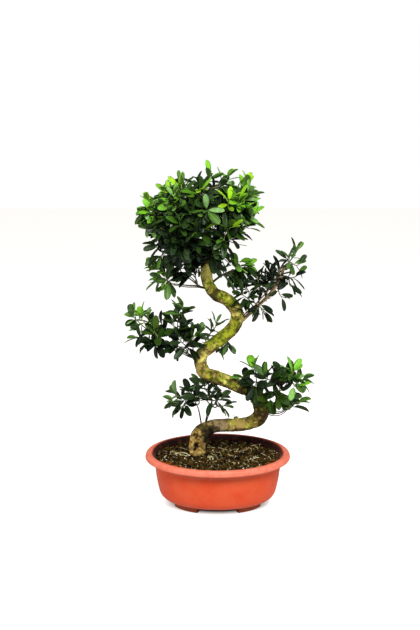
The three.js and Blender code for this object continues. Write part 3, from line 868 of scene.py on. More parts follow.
@dataclass
class Pot:
    """Oval pot with a rolled rim, a thin wall, drain holes and four low feet."""

    rim_length: float = 349.0
    rim_width: float = 280.0
    height: float = 131.0
    foot_height: float = 15.0
    floor: float = 4.0
    segments: int = 144
    steps: int = 9
    drain_radius: float = 6.0
    drain_places: tuple[float, ...] = (-58.0, 0.0, 58.0)
    foot_inset: float = 65.0
    foot_width: float = 13.0
    foot_angles: Pair = (19.0, 63.0)
    foot_sunk: float = 1.5
    foot_edge: float = 1.0
    stained: Pair = (13.5, 19.0)
    rear_stain: float = 5.5
    lip_depths: Pair = (26.0, 20.0)
    low_heights: Pair = (22.0, 15.0)

    def outside(self) -> Profile:
        """Profile of the outer wall, from under the base up to the rim."""
        top = self.height
        low = self.foot_height
        return Profile((self.foot_inset, low), (
            (37, low, 32, low + 27), (25, 72, 22.3, top - 23),
            (21.5, top - 6.5, 13, top - 4.5), (4.4, top - 3.5, 3.5, top - 13),
            (1.6, top - 16, 0, top - 12), (0, top, 8, top),
        ))

    def inside(self) -> Profile:
        """Profile of the inner wall, from the rim down to the floor."""
        top = self.height
        floor = self.foot_height + self.floor
        return Profile((8, top), (
            (20.5, top, 24.5, top - 15), (29, 72, 37.5, self.foot_height + 28),
            (42.5, floor, 66, floor),
        ))

    def oval(self, inset: Array | float, height: Array | float, angle: Array) -> Array:
        """Points at an inset and a height, on the rim's oval at an angle."""
        x = (self.rim_length / 2 - inset) * np.cos(angle)
        y = (self.rim_width / 2 - inset) * np.sin(angle)
        return np.stack(np.broadcast_arrays(x, y, height), -1)

    def wall(self) -> Surface:
        """The moulded wall and floor: the profile carried round the rim's oval."""
        outer = self.outside().points(self.steps)
        inner = self.inside().points(self.steps)[1:]
        line = np.vstack([outer, inner])
        inset, height = line[:, 0, None], line[:, 1, None]
        angle = turns(self.segments)
        rings = self.oval(inset, height, angle[None])
        inward = np.concatenate([np.zeros(len(outer)), np.ones(len(inner))])[:, None]
        # The inner wall's darkening starts nearer the rim at the rear.
        rear = self.rear_stain * smoothstep(0.0, 0.7, np.sin(angle))
        within = inward * smoothstep(*self.stained, inset + rear)
        # lip marks the rim's top, where the finish paints a highlight.
        lip = smoothstep(*(self.height - depth for depth in self.lip_depths), height) * (1 - within)
        # Painted shade: the bottom of the wall darkens towards the feet.
        low = np.broadcast_to(smoothstep(*self.low_heights, height) * 0.6, within.shape)
        return lofted(rings, {"inside": within, "lip": lip, "low": low})

    def foot(self, side: int, front: int) -> Surface:
        """One foot: a block with rounded edges, bent along the base's oval.

        Its section is a rounded rectangle, carried between two angles of the oval.

        Args:
            side: 1 for the right, -1 for the left.
            front: 1 for the rear, -1 for the front.

        Returns:
            The foot.
        """
        top = self.foot_height + self.foot_sunk
        edge, width = self.foot_edge, self.foot_width
        nick = 0.3 * edge
        section = np.array([
            (0, edge), (nick, nick), (edge, 0), (width - edge, 0), (width - nick, nick),
            (width, edge), (width, top), (0, top),
        ])
        angle = np.radians(np.linspace(*self.foot_angles, 17))
        rings = self.oval(self.foot_inset + section[None, :, 0], section[None, :, 1], angle[:, None])
        rings = rings * np.array([side, front, 1])
        # The feet are painted wholly in shade.
        block = lofted(rings, {"low": np.ones(rings.shape[:2])})
        return block if side * front > 0 else block.reversed()

    def build(self, finish: Material) -> None:
        """Makes the pot, with its drain holes cut through the floor.

        Args:
            finish: The plastic.
        """
        feet = [self.foot(side, front) for side in (-1, 1) for front in (-1, 1)]
        piece = add_piece("oval_pot", joined([self.wall(), *feet]), finish, ("pot",))
        shaft = np.array([[0, 0, 0], [0, 0, 1.5 * (self.foot_height + self.floor)]], float)
        drills = joined([
            tube(shaft + (x, 0.4, -1.0), np.full(2, self.drain_radius), 24) for x in self.drain_places
        ])
        drill = make_object("drill", drills)
        cut = piece.modifiers.new("drain", "BOOLEAN")
        cut.operation = "DIFFERENCE"
        cut.object = drill
        bpy.context.view_layer.objects.active = piece
        bpy.ops.object.modifier_apply(modifier=cut.name)
        bpy.data.objects.remove(drill)


@dataclass(frozen=True)
class Litter:
    """Rough lumps of one kind on the peat: name, finish, number, radii and seed."""

    name: str
    finish: CrumbFinish
    number: int
    radii: Pair
    seed: int


@dataclass
class Soil:
    """Peat that fills the pot, with crumbs, fibres and thin roots on top.

    clods holds the height and size of each noise, heel_roots the heading in degrees and the
    length of each root, and curls the x, y, radius, first angle and last of each arc.
    """

    pot: Pot
    edge: float = 117.0
    mound: float = 6.0
    bank: float = 4.0
    clods: tuple[Pair, ...] = ((1.5, 11.0), (1.1, 4.5), (0.6, 2.0))
    gap: float = 0.3
    heel: Pair = (-46.0, 2.0)
    heel_reach: float = 21.0
    heel_roots: tuple[Pair, ...] = ((-24, 26), (-58, 20), (-84, 16), (-112, 18), (176, 22), (60, 18))
    strands: tuple[tuple[Pair, ...], ...] = (
        ((-30, 46), (2, 42), (45, 16), (80, 12)), ((45, 20), (55, 42), (64, 64)),
        ((54, 14), (72, 26)), ((104, 2), (112, -14), (126, -36)), ((-16, 8), (-6, -8), (2, -40)),
        ((-11, 14), (4, 2), (12, -28)), ((8, 92), (22, 80), (46, 84)), ((-92, 62), (-84, 42), (-70, 30)),
        ((84, 62), (100, 50)), ((60, -54), (66, -66)), ((-120, 20), (-104, 10), (-98, -8)),
    )
    curls: tuple[tuple[float, float, float, float, float], ...] = (
        (-86, -18, 13, 10, 190), (-86, -18, 20, 20, 170), (-84, -16, 27, 40, 150),
        (-30, -34, 12, -60, 150), (-30, -32, 18, -40, 110), (-118, -24, 10, 0, 240),
        (96, -42, 14, 30, 170), (30, -62, 9, -20, 200),
    )
    fibres: int = 290
    fibre_half: Pair = (3.0, 17.0)
    fibre_radius: Pair = (0.3, 1.0)
    litter: tuple[Litter, ...] = (
        Litter("soil_clods", CrumbFinish(
            "soil_clod", Shade(0.0012, 0.0007, 0.0003), Shade(0.072, 0.040, 0.004)), 1100, (1.4, 5.4), 41),
        Litter("bark_chips", CrumbFinish(
            "bark_chip", Shade(0.06, 0.028, 0.005), Shade(0.50, 0.32, 0.12)), 240, (0.9, 3.0), 42),
        Litter("white_flecks", CrumbFinish(
            "white_fleck", Shade(0.50, 0.45, 0.30), Shade(0.92, 0.88, 0.74)), 160, (0.8, 2.4), 43),
    )
    fibre: CrumbFinish = CrumbFinish("peat_fibre", Shade(0.045, 0.028, 0.004), Shade(0.82, 0.64, 0.32))
    root: CrumbFinish = CrumbFinish(
        "surface_root", Shade(0.12, 0.090, 0.020), Shade(0.86, 0.78, 0.46), 0.65)
    sides: int = 200
    rings: int = 90
    seed: int = 31

    def height(self, x: Array, y: Array) -> Array:
        """Height of the peat: the CAD's low mound with small waves, clods and banked ends."""
        length, width = self.pot.rim_length, self.pot.rim_width
        outness = (2 * x / length) ** 2 + (2 * y / width) ** 2
        waves = 1.4 * np.sin(x / 11) * np.cos(y / 9) + 0.8 * np.sin(x / 5.3) * np.cos(y / 6.1)
        flat = np.stack([x, y, np.zeros_like(x)], -1).reshape(-1, 3)
        clods = layered_noise(flat, self.clods, self.seed).reshape(np.shape(x))
        banked = self.bank * smoothstep(0.45, 0.8, np.abs(2 * x / length) - 0.15 * np.sign(y))
        return self.edge + self.mound * np.maximum(0, 1 - outness) + waves + clods + banked

    def body(self) -> Surface:
        """The peat: rings under the inner wall, then rings in to the middle of the top."""
        side = self.pot.inside().points(6)
        side = side[side[:, 1] < self.edge - 2][::-1]
        angle = turns(self.sides)
        below = self.pot.oval(side[:, 0, None] + self.gap, side[:, 1, None] + self.gap, angle[None])
        rim = self.pot.oval(side[-1, 0] - 1.5, 0.0, angle)
        top = rim[None] * np.linspace(1, 0.004, self.rings)[:, None, None]
        top[..., 2] = self.height(top[..., 0], top[..., 1])
        rings = np.concatenate([below, top])
        out = np.hypot(2 * rings[..., 0] / self.pot.rim_length, 2 * rings[..., 1] / self.pot.rim_width)
        # edge marks the peat's front edge, where the finish paints the pot's orange reflection.
        front = smoothstep(-20.0, -80.0, rings[..., 1])
        return lofted(rings, {"edge": smoothstep(0.70, 0.82, out) * front})

    def scatter(self, number: int, rng: Rng, clear: float) -> Array:
        """Places drawn evenly over the top, clear of the heel: radius by a square root.

        Args:
            number: How many.
            rng: Draws the places.
            clear: Distance kept from the heel's edge.

        Returns:
            The places, (number, 2).
        """
        angle = rng.uniform(0, 2 * math.pi, number)
        reach = np.sqrt(rng.uniform(0, 1, number)) * 0.965
        halves = np.array([self.pot.rim_length, self.pot.rim_width]) / 2 - 25
        spots = (reach * np.stack([np.cos(angle), np.sin(angle)])).T * halves
        away = spots - np.array(self.heel)
        distance = np.linalg.norm(away, axis=1, keepdims=True)
        kept = np.maximum(distance, self.heel_reach + clear)
        return np.array(self.heel) + away / np.maximum(distance, 1e-6) * kept

    def crumbs(self, litter: Litter) -> Surface:
        """Small rough lumps: rings of latitude whose radii are drawn, half sunk in the peat.

        Args:
            litter: Their kind.

        Returns:
            All the lumps.
        """
        rings, sides, number = 3, 6, litter.number
        rng = np.random.default_rng(litter.seed)
        spots = self.scatter(number, rng, 1.0)
        size = skewed(litter.radii, rng.uniform(0, 1, number), 2.5)
        rows = globe(rings, sides) * rng.uniform(0.65, 1.25, (number, rings, sides, 1))
        rows = rows * (size[:, None] * rng.uniform(0.6, 1.3, (number, 3)))[:, None, None]
        poles = np.stack([rows[:, 0].mean(1), rows[:, -1].mean(1)], 1)
        poles += np.array([[0, 0, -0.5], [0, 0, 0.5]]) * size[:, None, None] * 0.6
        clouds = np.concatenate([rows.reshape(number, -1, 3), poles], 1)
        middle = np.column_stack([spots, self.height(*spots.T) + 0.25 * size])
        tint = np.repeat(rng.uniform(0, 1, number) ** 1.5, clouds.shape[1])
        return repeated(rings, sides, clouds + middle[:, None], {"tint": tint})

    def lying_fibres(self) -> Surface:
        """Thin fibres lying on the peat: a parabola in plan, lifted in the middle.

        A fibre's point at t from -1 to 1 is its middle + t * half length along its heading
        + t^2 * bend across it, and its height is the peat's plus a lift of (1 - t^2).

        Returns:
            All the fibres.
        """
        number = self.fibres
        rng = np.random.default_rng(self.seed + 13)
        spots = self.scatter(number, rng, 6.0)
        heading = rng.uniform(0, 2 * math.pi, number)
        half = skewed(self.fibre_half, rng.uniform(0, 1, number), 2)
        bend = half * rng.uniform(-0.8, 0.8, number)
        radius = skewed(self.fibre_radius, rng.uniform(0, 1, number), 2)
        t = np.linspace(-1, 1, 8)
        ahead = np.stack([np.cos(heading), np.sin(heading)], -1)
        aside = np.stack([-np.sin(heading), np.cos(heading)], -1)
        plan = (
            spots[:, None] + (half[:, None] * t)[..., None] * ahead[:, None]
            + (bend[:, None] * t**2)[..., None] * aside[:, None]
        )
        lift = 0.5 * radius[:, None] + rng.uniform(0, 2.0, number)[:, None] * (1 - t**2)
        height = self.height(plan[..., 0], plan[..., 1]) + lift
        limits = np.array([self.pot.rim_length, self.pot.rim_width]) / 2 - 26
        plan = plan / np.maximum(np.linalg.norm(plan / limits, axis=-1), 1)[..., None]
        paths = np.concatenate([plan, height[..., None]], -1)
        taper = radius[:, None] * np.sqrt(np.maximum(1 - 0.8 * t**2, 0.1))
        tints = rng.uniform(0, 1, number) ** 2.2
        return joined([
            tube(path, widths, 5).marked(tint=tint) for path, widths, tint in zip(paths, taper, tints)
        ])

    def laid(self, plan: Array, lift: Array, radii: Array, tint: float) -> Surface:
        """A thin root laid on the peat along a line in plan, lifted a little."""
        height = self.height(plan[:, 0], plan[:, 1]) + lift
        return tube(np.column_stack([plan, height]), radii, 8).marked(tint=tint)

    def roots(self) -> Surface:
        """Thin pale roots: some leave the heel, and strands and curls lie on the peat.

        A strand is a smooth curve through its points and a curl an arc of a circle.
        """
        rng = np.random.default_rng(self.seed + 9)
        tubes = []
        t = np.linspace(0, 1, 24)
        for degrees, length in self.heel_roots:
            heading = math.radians(degrees)
            turn = heading + rng.uniform(-0.5, 0.5) * t + 0.12 * np.sin(9 * t + rng.uniform(0, 6))
            step = np.stack([np.cos(turn), np.sin(turn)], -1) * length / (len(t) - 1)
            start = np.array([math.cos(heading), math.sin(heading)]) * (self.heel_reach - 4)
            plan = np.array(self.heel) + start + np.cumsum(step, 0)
            radii = rng.uniform(0.9, 1.7) * (1 - 0.65 * t)
            tubes.append(self.laid(plan, 0.4 + 6.0 * (1 - t) ** 6, radii, rng.uniform(0.0, 0.5)))
        for points in self.strands:
            plan = catmull_rom(np.array(points, float), t)
            radii = rng.uniform(0.8, 1.4) * (1 - 0.5 * t)
            tubes.append(self.laid(plan, 1.2 + 1.6 * np.sin(math.pi * t), radii, rng.uniform(0.2, 1.0)))
        for x, y, reach, first, last in self.curls:
            angle = np.radians(first + (last - first) * t)
            plan = np.column_stack([x + reach * np.cos(angle), y + reach * np.sin(angle)])
            tubes.append(self.laid(plan, 1.4 + 1.0 * t, 1.1 * (1 - 0.4 * t), rng.uniform(0.7, 1.0)))
        return joined(tubes)

    def build(self, mottle: NodeTree) -> None:
        """Makes the soil and what lies on it.

        Args:
            mottle: The shared group for uneven colour.
        """
        add_piece("potting_soil", self.body(), SoilFinish().build(mottle), ("soil",))
        for litter in self.litter:
            add_piece(litter.name, self.crumbs(litter), litter.finish.build())
        add_piece("peat_fibres", self.lying_fibres(), self.fibre.build())
        add_piece("surface_roots", self.roots(), self.root.build())


# Trunk


@dataclass(frozen=True)
class BarkZone:
    """Look of the bark at a share of the way up the trunk, each from 0 to 1. pale lays a painted highlight,
    and dark lays brown blotches that are partly painted shade.
    """

    at: float
    green: float
    pale: float
    dull: float
    dark: float


@dataclass(frozen=True)
class Dent:
    """A round eye or dent in the bark: a raised ring round a hollow."""

    at: Triple
    radius: float
    depth: float
    ring: float


@dataclass(frozen=True)
class Limb:
    """A limb: rows of x, y, z and the CAD's radius, and the share of it that the fine limb keeps.

    tone is the colour of its bark, from 0 (near black) to 1 (pale), and twins the number of
    thinner stems that run beside it.
    """

    stations: tuple[Four, ...]
    slim: float = 1.0
    tone: float = 0.1
    twins: int = 0


@dataclass
class Trunk:
    """Trunk with all its limbs, grown as one piece, and its sawn heel.

    stations holds rows of x, y, z and radius, ridge_waves the number of ridges round the trunk
    and how fast they wind as it climbs, stubs the root, end and radius of each bare stub,
    hollows the place of each across and up the sawn face, its size and its depth, and callus
    and bark the height and size of each noise. rings is the number of old leaf rings.
    """

    stations: tuple[Four, ...] = (
        (-46, 2, 66, 20), (-46, 2, 112, 20), (-46, 2, 148, 22), (-39, 3, 175, 21),
        (-14, 8, 192, 16), (16, 14, 192, 15.5), (49, 18, 192, 15.5), (81, 20, 198, 16.5),
        (101, 19, 214, 18), (106, 15, 238, 18.5), (94, 8, 265, 17.5), (72, 2, 285, 16),
        (48, -2, 296, 15.5), (22, -5, 308, 15), (-3, -6, 318, 15.5), (-28, -4, 327, 15.5),
        (-41, 0, 349, 15), (-35, 5, 377, 15), (-11, 9, 395, 15.5), (15, 12, 415, 15.5),
        (37, 12, 436, 15.5), (45, 9, 464, 15.5), (37, 5, 489, 15), (19, 2, 506, 15),
        (-4, 0, 517, 14.5), (-18, 0, 533, 13.5), (-26, 1, 561, 14), (-24, 2, 594, 13),
    )
    limbs: dict[str, Limb] = field(default_factory=lambda: {
        "leader": Limb(((-25, 2, 585, 11), (-27, 0, 640, 8), (-36, 0, 700, 6), (-42, 0, 746, 4))),
        "crown_left": Limb(
            ((-26, 1, 622, 6), (-62, -4, 648, 5), (-104, -6, 670, 4), (-130, -6, 684, 3)), 0.7),
        "crown_right": Limb(
            ((-25, 2, 604, 6), (8, -2, 636, 5), (38, -4, 676, 4), (52, -4, 712, 3)), 0.7, 0.5),
        "low_left": Limb(
            ((-16, 0, 528, 5), (-44, -10, 539, 4), (-72, -15, 542, 3.4), (-102, -18, 546, 2.8)),
            0.45, 0.05, 1),
        "low_left_upper": Limb(((-44, -10, 539, 3.4), (-62, -6, 553, 3), (-80, -4, 566, 2.6)), 0.5, 0.05, 1),
        "right_back": Limb(((-20, 4, 540, 5), (4, 18, 556, 4), (28, 24, 568, 3)), 0.6),
        "right": Limb(
            ((38, 8, 434, 5.5), (75, 0, 471, 4.6), (100, -5, 498, 4.2), (126, -8, 527, 3.6),
             (146, -8, 563, 3), (154, -7, 584, 2.6)), 0.6, 0.95, 3),
        "left": Limb(
            ((-36, 0, 356, 5), (-68, -6, 372, 4.2), (-87, -10, 386, 3.8), (-113, -12, 397, 3.2),
             (-134, -14, 408, 2.8)), 0.45, 0.05, 2),
        "right_low": Limb(
            ((84, 6, 276, 5.5), (112, -10, 295, 4), (140, -16, 304, 3.4), (160, -20, 312, 2.8)),
            0.55, 0.2, 1),
        "bend": Limb(
            ((102, 14, 236, 5), (124, 6, 226, 3.4), (146, -2, 228, 2.8), (164, -8, 238, 2.4)),
            0.5, 0.25, 2),
        "heel_left": Limb(((-38, 2, 190, 3.2), (-46, -4, 238, 2.4), (-57, -8, 264, 2)), 0.6, 0.0),
        "heel_right": Limb(((-32, 4, 192, 3.2), (-18, 2, 234, 2.4), (-8, 2, 250, 2)), 0.6, 0.0, 1),
    })
    slimmest_fused: float = 0.65
    sides: int = 36
    steps: int = 280
    ridge: float = 0.045
    climb: float = 54.0
    ridge_waves: tuple[Pair, ...] = ((3, 0.9), (5, -1.7))
    knobs: tuple[tuple[Triple, float], ...] = (
        ((45, 16, 208), 7.0), ((-8, -8, 188), 7.0), ((54, 6, 470), 6.0), ((-40, -6, 178), 9.0),
    )
    stubs: tuple[tuple[Triple, Triple, float], ...] = (
        ((-48, -6, 176), (-62, -12, 186), 1.1), ((-46, -4, 180), (-57, -8, 191), 1.0),
        ((40, 14, 206), (38, 10, 222), 0.8), ((-14, 4, 204), (-20, 0, 214), 0.8),
    )
    zones: tuple[BarkZone, ...] = tuple(itertools.starmap(BarkZone, (
        (0.00, 0.10, 0.0, 0.6, 0.5), (0.10, 0.10, 0.0, 0.6, 0.5), (0.12, 0.35, 0.1, 0.3, 0.55),
        (0.14, 0.25, 0.1, 0.4, 0.5), (0.16, 0.05, 0.1, 1.0, 0.3), (0.18, 0.05, 0.2, 0.9, 0.1),
        (0.20, 0.30, 0.2, 0.3, 0.3), (0.24, 0.40, 0.5, 0.0, 0.1), (0.27, 0.45, 0.5, 0.0, 0.1),
        (0.29, 0.35, 0.3, 0.1, 0.3), (0.32, 0.30, 0.0, 0.3, 0.6), (0.35, 0.50, 0.0, 0.2, 0.55),
        (0.40, 0.80, 0.0, 0.1, 0.5), (0.45, 0.70, 0.3, 0.0, 0.3), (0.49, 0.60, 0.6, 0.0, 0.1),
        (0.53, 0.50, 0.0, 0.2, 0.45), (0.57, 0.55, 0.2, 0.1, 0.2), (0.61, 0.25, 0.6, 0.3, 0.05),
        (0.64, 0.30, 0.5, 0.1, 0.25), (0.67, 1.00, 0.2, 0.0, 0.1), (0.72, 1.00, 0.2, 0.0, 0.1),
        (0.75, 0.65, 0.2, 0.0, 0.35), (0.79, 0.50, 0.7, 0.0, 0.05), (0.82, 0.80, 0.2, 0.0, 0.3),
        (0.86, 0.85, 0.2, 0.0, 0.1), (0.90, 0.60, 0.0, 0.0, 0.75), (0.92, 0.60, 0.6, 0.0, 0.0),
        (0.94, 0.90, 0.3, 0.0, 0.1), (0.955, 0.80, 0.6, 0.0, 0.0), (0.965, 0.30, 1.0, 0.0, 0.0),
        (0.985, 0.30, 1.0, 0.0, 0.0), (1.00, 0.30, 0.0, 0.0, 0.7),
    )))
    dents: tuple[Dent, ...] = tuple(itertools.starmap(Dent, (
        ((1, -8, 190), 5.5, 1.6, 1.5), ((100, 0, 216), 7.0, 2.2, 1.2), ((44, -6, 462), 5.0, 1.4, 1.0),
        ((-32, -12, 352), 5.0, 1.0, 1.0), ((-22, -14, 528), 4.0, 1.2, 1.0), ((60, -14, 288), 5.0, 1.0, 0.8),
    )))
    heel: Pair = (-46.0, 2.0)
    sawn_forward: float = 12.0
    sawn_turn: float = 0.3
    sawn_middle: float = 152.0
    sawn_half: Pair = (20.5, 36.0)
    callus: tuple[Pair, ...] = ((1.3, 6.5), (0.9, 3.0))
    hollows: tuple[Four, ...] = (
        (-0.16, -0.12, 0.28, 6.0), (-0.36, -0.44, 0.17, 3.4), (-0.11, 0.42, 0.12, 3.6),
        (0.02, 0.58, 0.12, 3.4), (-0.42, 0.66, 0.22, 3.0), (-0.78, 0.42, 0.10, 2.0),
        (0.40, 0.18, 0.15, 2.6), (0.10, 0.05, 0.12, 2.2),
    )
    bark: tuple[Pair, ...] = ((0.9, 17.0), (0.55, 7.0), (0.28, 2.8))
    rings: int = 52
    voxel: float = 1.25
    seed: int = 77

    def shells(self) -> Surface:
        """The closed surfaces that fuse into the trunk.

        The trunk's tube has low ridges that wind round it, and each limb flares where it
        leaves the trunk, by half its radius at the root, fading within a tenth of its length.
        Of a slim limb only the root is here.

        Returns:
            The surfaces, joined.
        """
        path, radii = station_path(self.stations, self.steps)
        angle = turns(self.sides)
        climb = np.linspace(0, self.climb, self.steps)[:, None]
        waves = sum(np.sin(number * angle + speed * climb) for number, speed in self.ridge_waves)
        parts = [tube(path, radii, self.sides, 1 + self.ridge * waves)]
        t = np.linspace(0, 1, 60)
        for limb in self.limbs.values():
            line, widths = station_path(limb.stations, len(t))
            widths = widths * (limb.slim + (1.1 - limb.slim) * np.exp(-t / 0.05))
            widths = widths * (1 + 0.4 * np.exp(-t / 0.1))
            kept = len(t) if limb.slim > self.slimmest_fused else 9
            parts.append(tube(line[:kept], widths[:kept], 14))
        for centre, radius in self.knobs:
            parts.append(lofted(np.array(centre) + globe(9, 14) * radius))
        away, across = self.sawn_frame()
        heel = globe(20, 32) * (self.sawn_half[0] * 1.12, 17.0, self.sawn_half[1] * 1.08)
        middle = np.array([*self.heel, self.sawn_middle]) + away * 2.0
        parts.append(lofted(middle + heel @ np.stack([across, -away, UP])))
        return joined(parts)

    def stems(self) -> Surface:
        """The slim limbs with the stems that run beside them, and the bare stubs.

        A twin leaves its limb's root in a drawn direction and stands off it by
        spacing * sin(2.4 t) at a share t of the way. Every stem swells a little at its nodes.

        Returns:
            The stems, with qualities "limb" and "tone".
        """
        rng = np.random.default_rng(self.seed + 8)
        t = np.linspace(0, 1, 48)
        parts = []
        for limb in self.limbs.values():
            if limb.slim > self.slimmest_fused:
                continue
            line, widths = station_path(limb.stations, len(t))
            for twin in range(limb.twins + 1):
                spacing = rng.uniform(5.0, 9.0) if twin else 0.0
                away = unit(np.cross(line[-1] - line[0], rng.normal(size=3)))
                nodes = 1 + 0.16 * bell(np.sin((9 + 2 * twin) * math.pi * t), 0.0, 0.3)
                radii = widths * limb.slim * nodes * (0.7 if twin else 1.0)
                stem = tube(line + away * (spacing * np.sin(2.4 * t))[:, None], radii, 9)
                parts.append(stem.marked(limb=1.0, tone=limb.tone * (1 - 0.15 * twin)))
        for root, end, radius in self.stubs:
            line = np.linspace(np.array(root, float), np.array(end, float), 6)
            stub = tube(line, np.linspace(radius, 0.6 * radius, len(line)), 7)
            parts.append(stub.marked(limb=1.0, tone=0.2))
        return joined(parts)

    def sawn_frame(self) -> tuple[Array, Array]:
        """The sawn face's outward direction and the level direction across it."""
        away = np.array([-math.sin(self.sawn_turn), -math.cos(self.sawn_turn), 0.0])
        return away, np.cross(away, UP) * -1

    def saw(self, skin: Surface) -> Array:
        """Flattens the heel's front and gives it the callus of the old cut.

        Points in front of the sawn plane move back onto it. On the face, at r from its middle
        in an oval's own measure, a lip rises round r = 0.9 and the middle sinks, with noise,
        pits and cracks that run outwards.

        Args:
            skin: The fused skin, whose points are changed.

        Returns:
            How far each point belongs to the sawn face and how deep in its hollows, (n, 2).
        """
        away, across = self.sawn_frame()
        origin = np.array([*self.heel, self.sawn_middle]) + away * self.sawn_forward
        offset = skin.points - origin
        depth = offset @ away
        a = (offset @ across) / self.sawn_half[0]
        b = offset[:, 2] / self.sawn_half[1]
        a = a / (1 - 0.25 * smoothstep(0.0, 1.0, b))
        r = np.hypot(a, b)
        front = smoothstep(-6.0, -1.0, depth) * smoothstep(1.25, 1.0, r)
        skin.points -= away * (np.maximum(depth, 0) * smoothstep(1.45, 1.2, r))[:, None]
        rough = layered_noise(skin.points, self.callus, self.seed)
        cracks = np.sin(17 * np.arctan2(b, a) + 2.5 * lattice_noise(skin.points, 9.0, self.seed + 2))
        cracks *= smoothstep(0.35, 0.7, r) * smoothstep(0.9, -0.6, b - 0.4 * a)
        hollows = np.zeros(len(a))
        for place_a, place_b, size, sunk in self.hollows:
            near = np.hypot(a - place_a, (b - place_b) * 1.35)
            hollows += sunk * bell(near, 0.0, size) * (1 + 0.3 * rough)
        lip = 2.4 * bell(r, 0.88, 0.17)
        relief = lip - 1.5 * smoothstep(0.8, 0.3, r) + rough + 0.8 * cracks - hollows
        skin.points += away * (front * relief)[:, None]
        bare = front * smoothstep(1.0, 0.55, a + 0.25 * b + 0.25 * rough)
        return np.column_stack([bare, np.clip(hollows / 3.0 - 0.25 - 0.2 * cracks, 0, 1) * front])

    def scars(self, skin: Surface, share: Array) -> Array:
        """Relief of the bark along its normals, and how dark its scars are.

        Noise of three sizes, thin ridges left by old leaf rings at drawn places along the
        trunk, each broken by noise, and the dents: at d from one's middle,
        -depth * exp(-(d/0.7r)^2) + ring * exp(-((d/r - 1.25)/0.35)^2), dark between the two.

        Args:
            skin: The fused skin.
            share: Place along the trunk of each point, 0 to 1.

        Returns:
            The heights and the darkness, (n, 2).
        """
        points = skin.points
        height = layered_noise(points, self.bark, self.seed + 3)
        rng = np.random.default_rng(self.seed + 6)
        wobble = 0.0035 * lattice_noise(points, 9.0, self.seed + 7)
        broken = smoothstep(-0.35, 0.25, lattice_noise(points, 12.0, self.seed + 9))
        dark = np.zeros(len(points))
        for place in np.cumsum(rng.uniform(0.010, 0.028, self.rings)):
            ridge = bell(share - place + wobble, 0.0, 0.0018) * broken
            height += rng.uniform(0.2, 0.9) * ridge
            dark = np.maximum(dark, rng.uniform(0.3, 1.0) * ridge)
        for dent in self.dents:
            reach = np.linalg.norm(points - np.array(dent.at), axis=1) / dent.radius
            height += dent.ring * bell(reach, 1.25, 0.35) - dent.depth * bell(reach, 0.0, 0.7)
            dark = np.maximum(dark, bell(reach, 0.95, 0.3))
        return np.column_stack([height, dark])

    def build(self, finish: Material) -> None:
        """Makes the trunk.

        Args:
            finish: The bark.
        """
        skin = fused(self.shells(), self.voxel, 4)
        path, radii = station_path(self.stations, 272)
        share, beyond = nearest_share(skin.points, path, radii)
        face = self.saw(skin)
        limb = smoothstep(2.5, 9.0, beyond) * (1 - face[:, 0])
        limb = np.where(skin.points[:, 2] > 600, np.maximum(limb, 0.5), limb)
        normals = point_normals(skin)
        scars = self.scars(skin, share)
        bark = (1 - 0.75 * limb) * (1 - face[:, 0])
        skin.points = skin.points + normals * (scars[:, 0] * bark)[:, None]
        at = [zone.at for zone in self.zones]
        zoned = {
            name: np.interp(share, at, [getattr(zone, name) for zone in self.zones])
            for name in ("green", "pale", "dull", "dark")
        }
        near_soil = smoothstep(126.0, 118.0, skin.points[:, 2])
        x, _, z = skin.points.T
        # Painted shade: the crotch behind the heel, under the level run of the trunk, is darkened.
        corner = smoothstep(-40, -30, x) * smoothstep(6, -8, x) * smoothstep(204, 188, z)
        corner = corner * (1 - face[:, 0])
        # Painted shade: where the skin faces down it gets less green and pale, more grey and more dark
        # blotches.
        shadow = smoothstep(0.1, -0.8, normals[:, 2])
        skin.qualities = {
            "green": zoned["green"] * (1 - 0.4 * shadow),
            "pale": zoned["pale"] * (1 - 0.6 * shadow),
            "dull": np.clip(zoned["dull"] + 0.3 * shadow, 0, 1),
            "dark": np.clip(zoned["dark"] + 0.3 * shadow, 0, 1),
            "scar": scars[:, 1] * bark,
            "sawn": face[:, 0],
            # Dark pits of the sawn face, darker bark just above the peat, and painted shade in the crotch
            # behind the heel.
            "hollow": np.maximum.reduce([face[:, 1], 0.4 * near_soil, 0.92 * corner]),
            "limb": limb,
            "tone": np.full(len(limb), 0.1),
        }
        add_piece("ficus_trunk", joined([skin, self.stems()]), finish, ("trunk",))


def station_path(stations: tuple[Four, ...], count: int) -> tuple[Array, Array]:
    """Points and radii along stations: a Catmull-Rom curve, with straight-line radii.

    Args:
        stations: Rows of x, y, z and radius.
        count: Number of points.

    Returns:
        The points, (count, 3), and the radii, (count,).
    """
    rows = np.array(stations, float)
    shares = np.linspace(0, 1, count)
    radii = np.interp(shares * (len(rows) - 1), np.arange(len(rows)), rows[:, 3])
    return catmull_rom(rows[:, :3], shares), radii


def nearest_share(points: Array, path: Array, radii: Array) -> tuple[Array, Array]:
    """Finds the nearest point of a path for each point.

    The squared distances are |p|^2 + |q|^2 - 2 p.q, worked out for all pairs at once.

    Args:
        points: The points, (n, 3).
        path: The path, (m, 3).
        radii: Radius of the tube round the path, (m,).

    Returns:
        The share of the way along the path, and how far the point stands out of the tube.
    """
    products = points.astype(np.float32) @ path.T.astype(np.float32)
    pairs = (points**2).sum(1)[:, None] + (path**2).sum(1)[None] - 2 * products
    nearest = pairs.argmin(1)
    distance = np.linalg.norm(points - path[nearest], axis=1)
    return nearest / (len(path) - 1), distance - radii[nearest]


# Leafy sprays


class Draws:
    """The part's own repeatable draws from 0 to 1: a Lehmer generator."""

    FACTOR = 16807
    MODULUS = 2147483647

    def __init__(self, seed: int) -> None:
        """Starts the draws at a seed."""
        self.state = seed

    def between(self, low: float, high: float) -> float:
        """Returns the next draw, moved into the range low to high."""
        self.state = self.state * self.FACTOR % self.MODULUS
        return low + (high - low) * self.state / self.MODULUS


@dataclass(frozen=True)
class Spray:
    """A leafy spray: its limb, its place on it (0 to 1), and x, y, z and youth of each tip.

    A sparse spray has no side shoots and few older leaves.
    """

    limb: str
    at: float
    tips: tuple[Four, ...]
    sparse: bool = False


